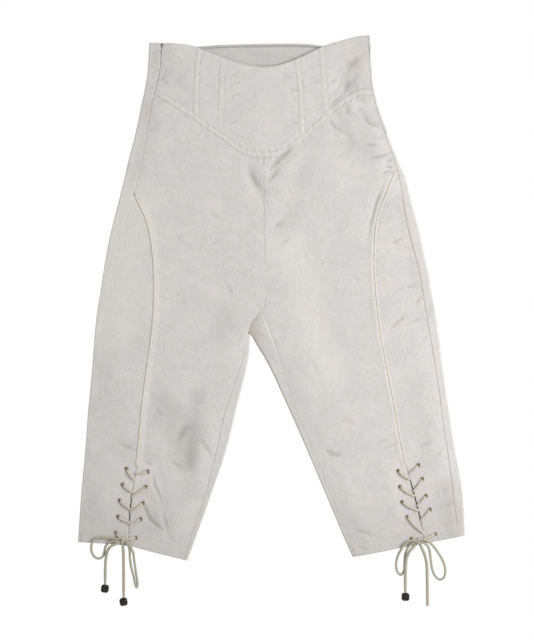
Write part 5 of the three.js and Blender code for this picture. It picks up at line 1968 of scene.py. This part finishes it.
@dataclass
class Bow:
    """The bow at the foot of a slit: its knot, two loops and two ends."""

    side: Side
    size: tuple[float, float, float] = (12.0, 8.6, 7.0)

    def build(self) -> None:
        """Makes the bow's knot and its free cords, with their beads."""
        self.knot()
        for name, route in FREE_CORDS.items():
            if name.split("_")[1] == self.side.value:
                self.free_cord(name, route)

    def knot(self) -> Piece:
        """Ties the knot: three strands across and a wrap over them.

        Returns:
            The piece.
        """
        x, y = KNOTS[self.side]
        length, width, height = self.size
        base = float(front_height(np.array(x), np.array(y))) + 0.5
        mid = base + height / 2
        inward = self.side.inward
        bm = bmesh.new()
        tubes = (
            ((-0.5, 0.2, 0.15), (-0.2, 0.36, 0.2), (0.15, 0.3, 0.25), (0.5, -0.05, 0.3)),
            ((-0.5, -0.2, 0.2), (-0.15, -0.34, 0.1), (0.2, -0.3, 0.2), (0.5, 0.2, 0.1)),
            ((-0.42, 0.0, -0.25), (-0.1, 0.05, -0.2), (0.2, -0.05, -0.2), (0.42, 0.0, -0.25)),
        )
        for shares in tubes:
            route = [(x + inward * a * length, y + b * width, mid + c * height) for a, b, c in shares]
            add_tube(bm, spline(route, 1.2), LACE_RADIUS, 10)
        turn = np.linspace(0, 2 * math.pi, 22)
        wrap = [
            (x + inward * (0.6 * math.sin(2 * t) + 0.8), y + 0.42 * width * math.cos(t),
             mid + 0.1 * height + 0.36 * height * math.sin(t)) for t in turn
        ]
        add_tube(bm, np.array(wrap), LACE_RADIUS, 10)
        return finish_piece(bm, f"{self.side.value}_bow_knot", KNOT_CORD, [f"bow_{self.side.value}_knot"])

    def free_cord(self, name: str, route: Points) -> Piece:
        """Args:
            name: The node that it stands for.
            route: The cord's points.

        Returns:
            The cord's piece.
        """
        path = spline(route)
        radius = LOOP_RADIUS if "loop" in name else END_RADIUS
        path[:, 2] = np.maximum(path[:, 2], radius + 0.05)
        bm = bmesh.new()
        left = np.linalg.norm(path - path[-1], axis=1) if name in BEADS else np.full(len(path), 99.0)
        add_tube(bm, path, radius * mix(0.76, 1.0, ease((left - 5) / 9)), 12)
        piece = finish_piece(bm, f"{name}_cord", FREE_CORD, [name])
        beads = []
        if name in BEADS:
            bead_name, at, turn = BEADS[name]
            beads = [CubeBead().build(bead_name, at, turn)]
        return piece


@dataclass
class CubeBead:
    """A cast cube bead with wide chamfers and a bore for the cord."""

    side: float = 12.0
    chamfer: float = 2.3
    bore: float = 2.2

    def build(self, name: str, at: tuple[float, float], turn: float) -> Piece:
        """Makes the bead, resting on the floor.

        Args:
            name: The node that it stands for.
            at: Its middle.
            turn: Its turn about Z in degrees.

        Returns:
            The piece.
        """
        bm = bmesh.new()
        bmesh.ops.create_cube(bm, size=self.side * MM)
        bmesh.ops.bevel(
            bm, geom=list(bm.edges), offset=self.chamfer * MM, segments=1, profile=0.5,
            affect="EDGES", material=-1,
        )
        ends = [face for face in bm.faces if abs(face.normal.y) > 0.99]
        wall = self.side / 2 - self.chamfer - self.bore
        for face in ends:
            bmesh.ops.inset_individual(bm, faces=[face], thickness=wall * MM)
            bmesh.ops.inset_individual(bm, faces=[face], thickness=0.05 * MM, depth=-3.0 * MM)
        sharp = [edge for edge in bm.edges if edge.calc_length() > 1.5 * MM]
        bmesh.ops.bevel(
            bm, geom=sharp, offset=0.25 * MM, segments=1, profile=0.5, affect="EDGES", material=-1
        )
        turned = Matrix.Rotation(math.radians(turn), 4, "Z")
        bm.transform(Matrix.Translation(Vector((*at, self.side / 2)) * MM) @ turned)
        return finish_piece(bm, f"{name}_cube", BEAD_BRONZE, [name])


# ---- Stitching ----
@dataclass
class Stitching:
    """Rows of machine stitches, each stitch a small grain of thread on the cloth."""

    pitch: float = 3.1
    length: float = 2.2
    width: float = 0.5
    height: float = 0.36
    edge_span: tuple[float, float] = (-96.0, 74.0)  # the back's top edge that shows, in x
    edge_pitch: float = 2.4
    edge_half: tuple[float, float, float] = (1.5, 1.15, 0.3)  # half the size of a stitch of that edge
    inset: float = 0.9  # from a channel's edge in to its stitches

    def along(self, bm: BMesh, x: Array, y: Array, lift: float) -> None:
        """Sews a row through points.

        Args:
            bm: The mesh of all stitches.
            x: The row's x.
            y: Its y.
            lift: How far above the front's own height the row lies.
        """
        run = np.concatenate([[0], np.cumsum(np.hypot(np.diff(x), np.diff(y)))])
        at = np.arange(self.pitch / 2, run[-1] - self.pitch / 2, self.pitch)
        ends = np.stack([at - 0.5, at + 0.5])
        ends_x, ends_y = np.interp(ends, run, x), np.interp(ends, run, y)
        ends_z = front_height(ends_x, ends_y) + lift
        half = (self.length / 2, self.width / 2, self.height / 2)
        for start, end in zip(*np.stack([ends_x, ends_y, ends_z], axis=-1)):
            turn = Vector(end - start).to_track_quat("X", "Z").to_matrix().to_4x4()
            add_grain(bm, (start + end) / 2, half, turn)

    def edge_row(self) -> Piece:
        """Sews the long grey stitches along the inside of the back's top edge, dark to paint the shadow line
        there.

        Returns:
            The piece.
        """
        bm = bmesh.new()
        for x in np.arange(*self.edge_span, self.edge_pitch):
            y = float(back_top(x)) - EDGE_ROW_DROP
            slope = float(back_top(x + 1) - back_top(x - 1)) / 2
            z = float(floor_height(np.array(x), np.array(y))) + CLOTH + 0.1
            add_grain(bm, (x, y, z), self.edge_half, Matrix.Rotation(math.atan(slope), 4, "Z"))
        return finish_piece(bm, "back_edge_stitches", GREY_THREAD)

    def build(self) -> Piece:
        """Sews every row that shows.

        Returns:
            The piece with all rows but the back's.
        """
        self.edge_row()
        bm = bmesh.new()
        half = CHANNEL_WIDTH / 2
        for rows, _ in CHANNELS.values():
            line = smooth(rows, 1, 0)
            x_mid = float(line(np.array(320.0)))
            y = np.linspace(float(welt_upper(x_mid)) + 2, float(front_top(x_mid)) - 2, 60)
            for offset in (-half + self.inset, half - self.inset):
                self.along(bm, line(y) + offset, y, 0.12)
        for leg in (RIGHT, LEFT):
            near_hem, inward = np.array(-380.0), leg.side_of.inward
            side, slit, inseam = (float(line(near_hem)) for line in (leg.outer, leg.piped, leg.inseam))
            for start, end in (
                (side + 6 * inward, slit - 3 * inward), (slit + 3 * inward, inseam - 4 * inward)
            ):
                x = np.linspace(min(start, end), max(start, end), 60)
                self.along(bm, x, leg.hem(x) + Leg.hem_stitch, 0.02)
        smooth_faces(bm)
        return finish_piece(bm, "stitching", THREAD)


# ---- Studio ----
@dataclass
class Studio:
    """A white floor, a soft light from the right and a camera straight above."""

    distance: float = 4.0
    view_height: float = 0.992
    centre: tuple[float, float] = (-0.006975, -0.0341)
    sky: float = 0.57  # the room's brightness
    key_power: float = 43.0  # in watts

    def camera(self) -> None:
        """Places the camera over the garment, looking straight down."""
        data = bpy.data.cameras.new("camera")
        data.sensor_width = 36.0
        data.lens = 36.0 * self.distance / self.view_height
        camera = bpy.data.objects.new("camera", data)
        camera.location = (*self.centre, self.distance)
        bpy.context.scene.collection.objects.link(camera)
        bpy.context.scene.camera = camera

    def floor(self) -> None:
        """Lays a wide white floor that glows, so that it takes no shadows."""
        bm = bmesh.new()
        bmesh.ops.create_grid(bm, x_segments=1, y_segments=1, size=6.0)
        mesh = bpy.data.meshes.new("floor")
        bm.to_mesh(mesh)
        bm.free()
        mesh.transform(Matrix.Translation((0, 0, -0.0003)))
        floor = bpy.data.objects.new("floor", mesh)
        bpy.context.scene.collection.objects.link(floor)
        material = bpy.data.materials.new("floor")
        material.use_nodes = True
        glow = material.node_tree.nodes.new("ShaderNodeEmission")
        glow.inputs["Strength"].default_value = 1.0
        output = material.node_tree.nodes["Material Output"]
        material.node_tree.links.new(glow.outputs[0], output.inputs["Surface"])
        mesh.materials.append(material)

    def lamp(self, name: str, place: tuple[float, float, float], size: float, power: float) -> None:
        """Hangs a square soft light that faces the garment.

        Args:
            name: Its name.
            place: Where it hangs, in metres.
            size: Its side in metres.
            power: Its power in watts.
        """
        data = bpy.data.lights.new(name, "AREA")
        data.size = size
        data.energy = power
        lamp = bpy.data.objects.new(name, data)
        lamp.location = place
        lamp.rotation_mode = "QUATERNION"
        lamp.rotation_quaternion = Vector(place).to_track_quat("Z", "Y")
        bpy.context.scene.collection.objects.link(lamp)

    def build(self) -> None:
        """Sets up the floor and the lights."""
        self.floor()
        world = bpy.data.worlds.new("room")
        world.use_nodes = True
        world.node_tree.nodes["Background"].inputs[0].default_value = (1, 1, 1, 1)
        world.node_tree.nodes["Background"].inputs[1].default_value = self.sky
        bpy.context.scene.world = world
        self.lamp("key", (1.85, 0.3, 1.65), 1.2, self.key_power)
        bpy.context.scene.view_settings.view_transform = "Standard"


def main() -> None:
    """Builds the garment piece by piece."""
    logging.basicConfig(level=logging.INFO, format="%(message)s")
    studio = Studio()
    studio.camera()
    for side in Side:
        Bow(side).build()
        LacedSlit(side).build()
    WaistFront().build()
    WaistBack().build()
    SideZip().build()
    for lines in (RIGHT, LEFT):
        Leg(lines).build()
    Stitching().build()
    studio.build()


if __name__ == "__main__":
    main()
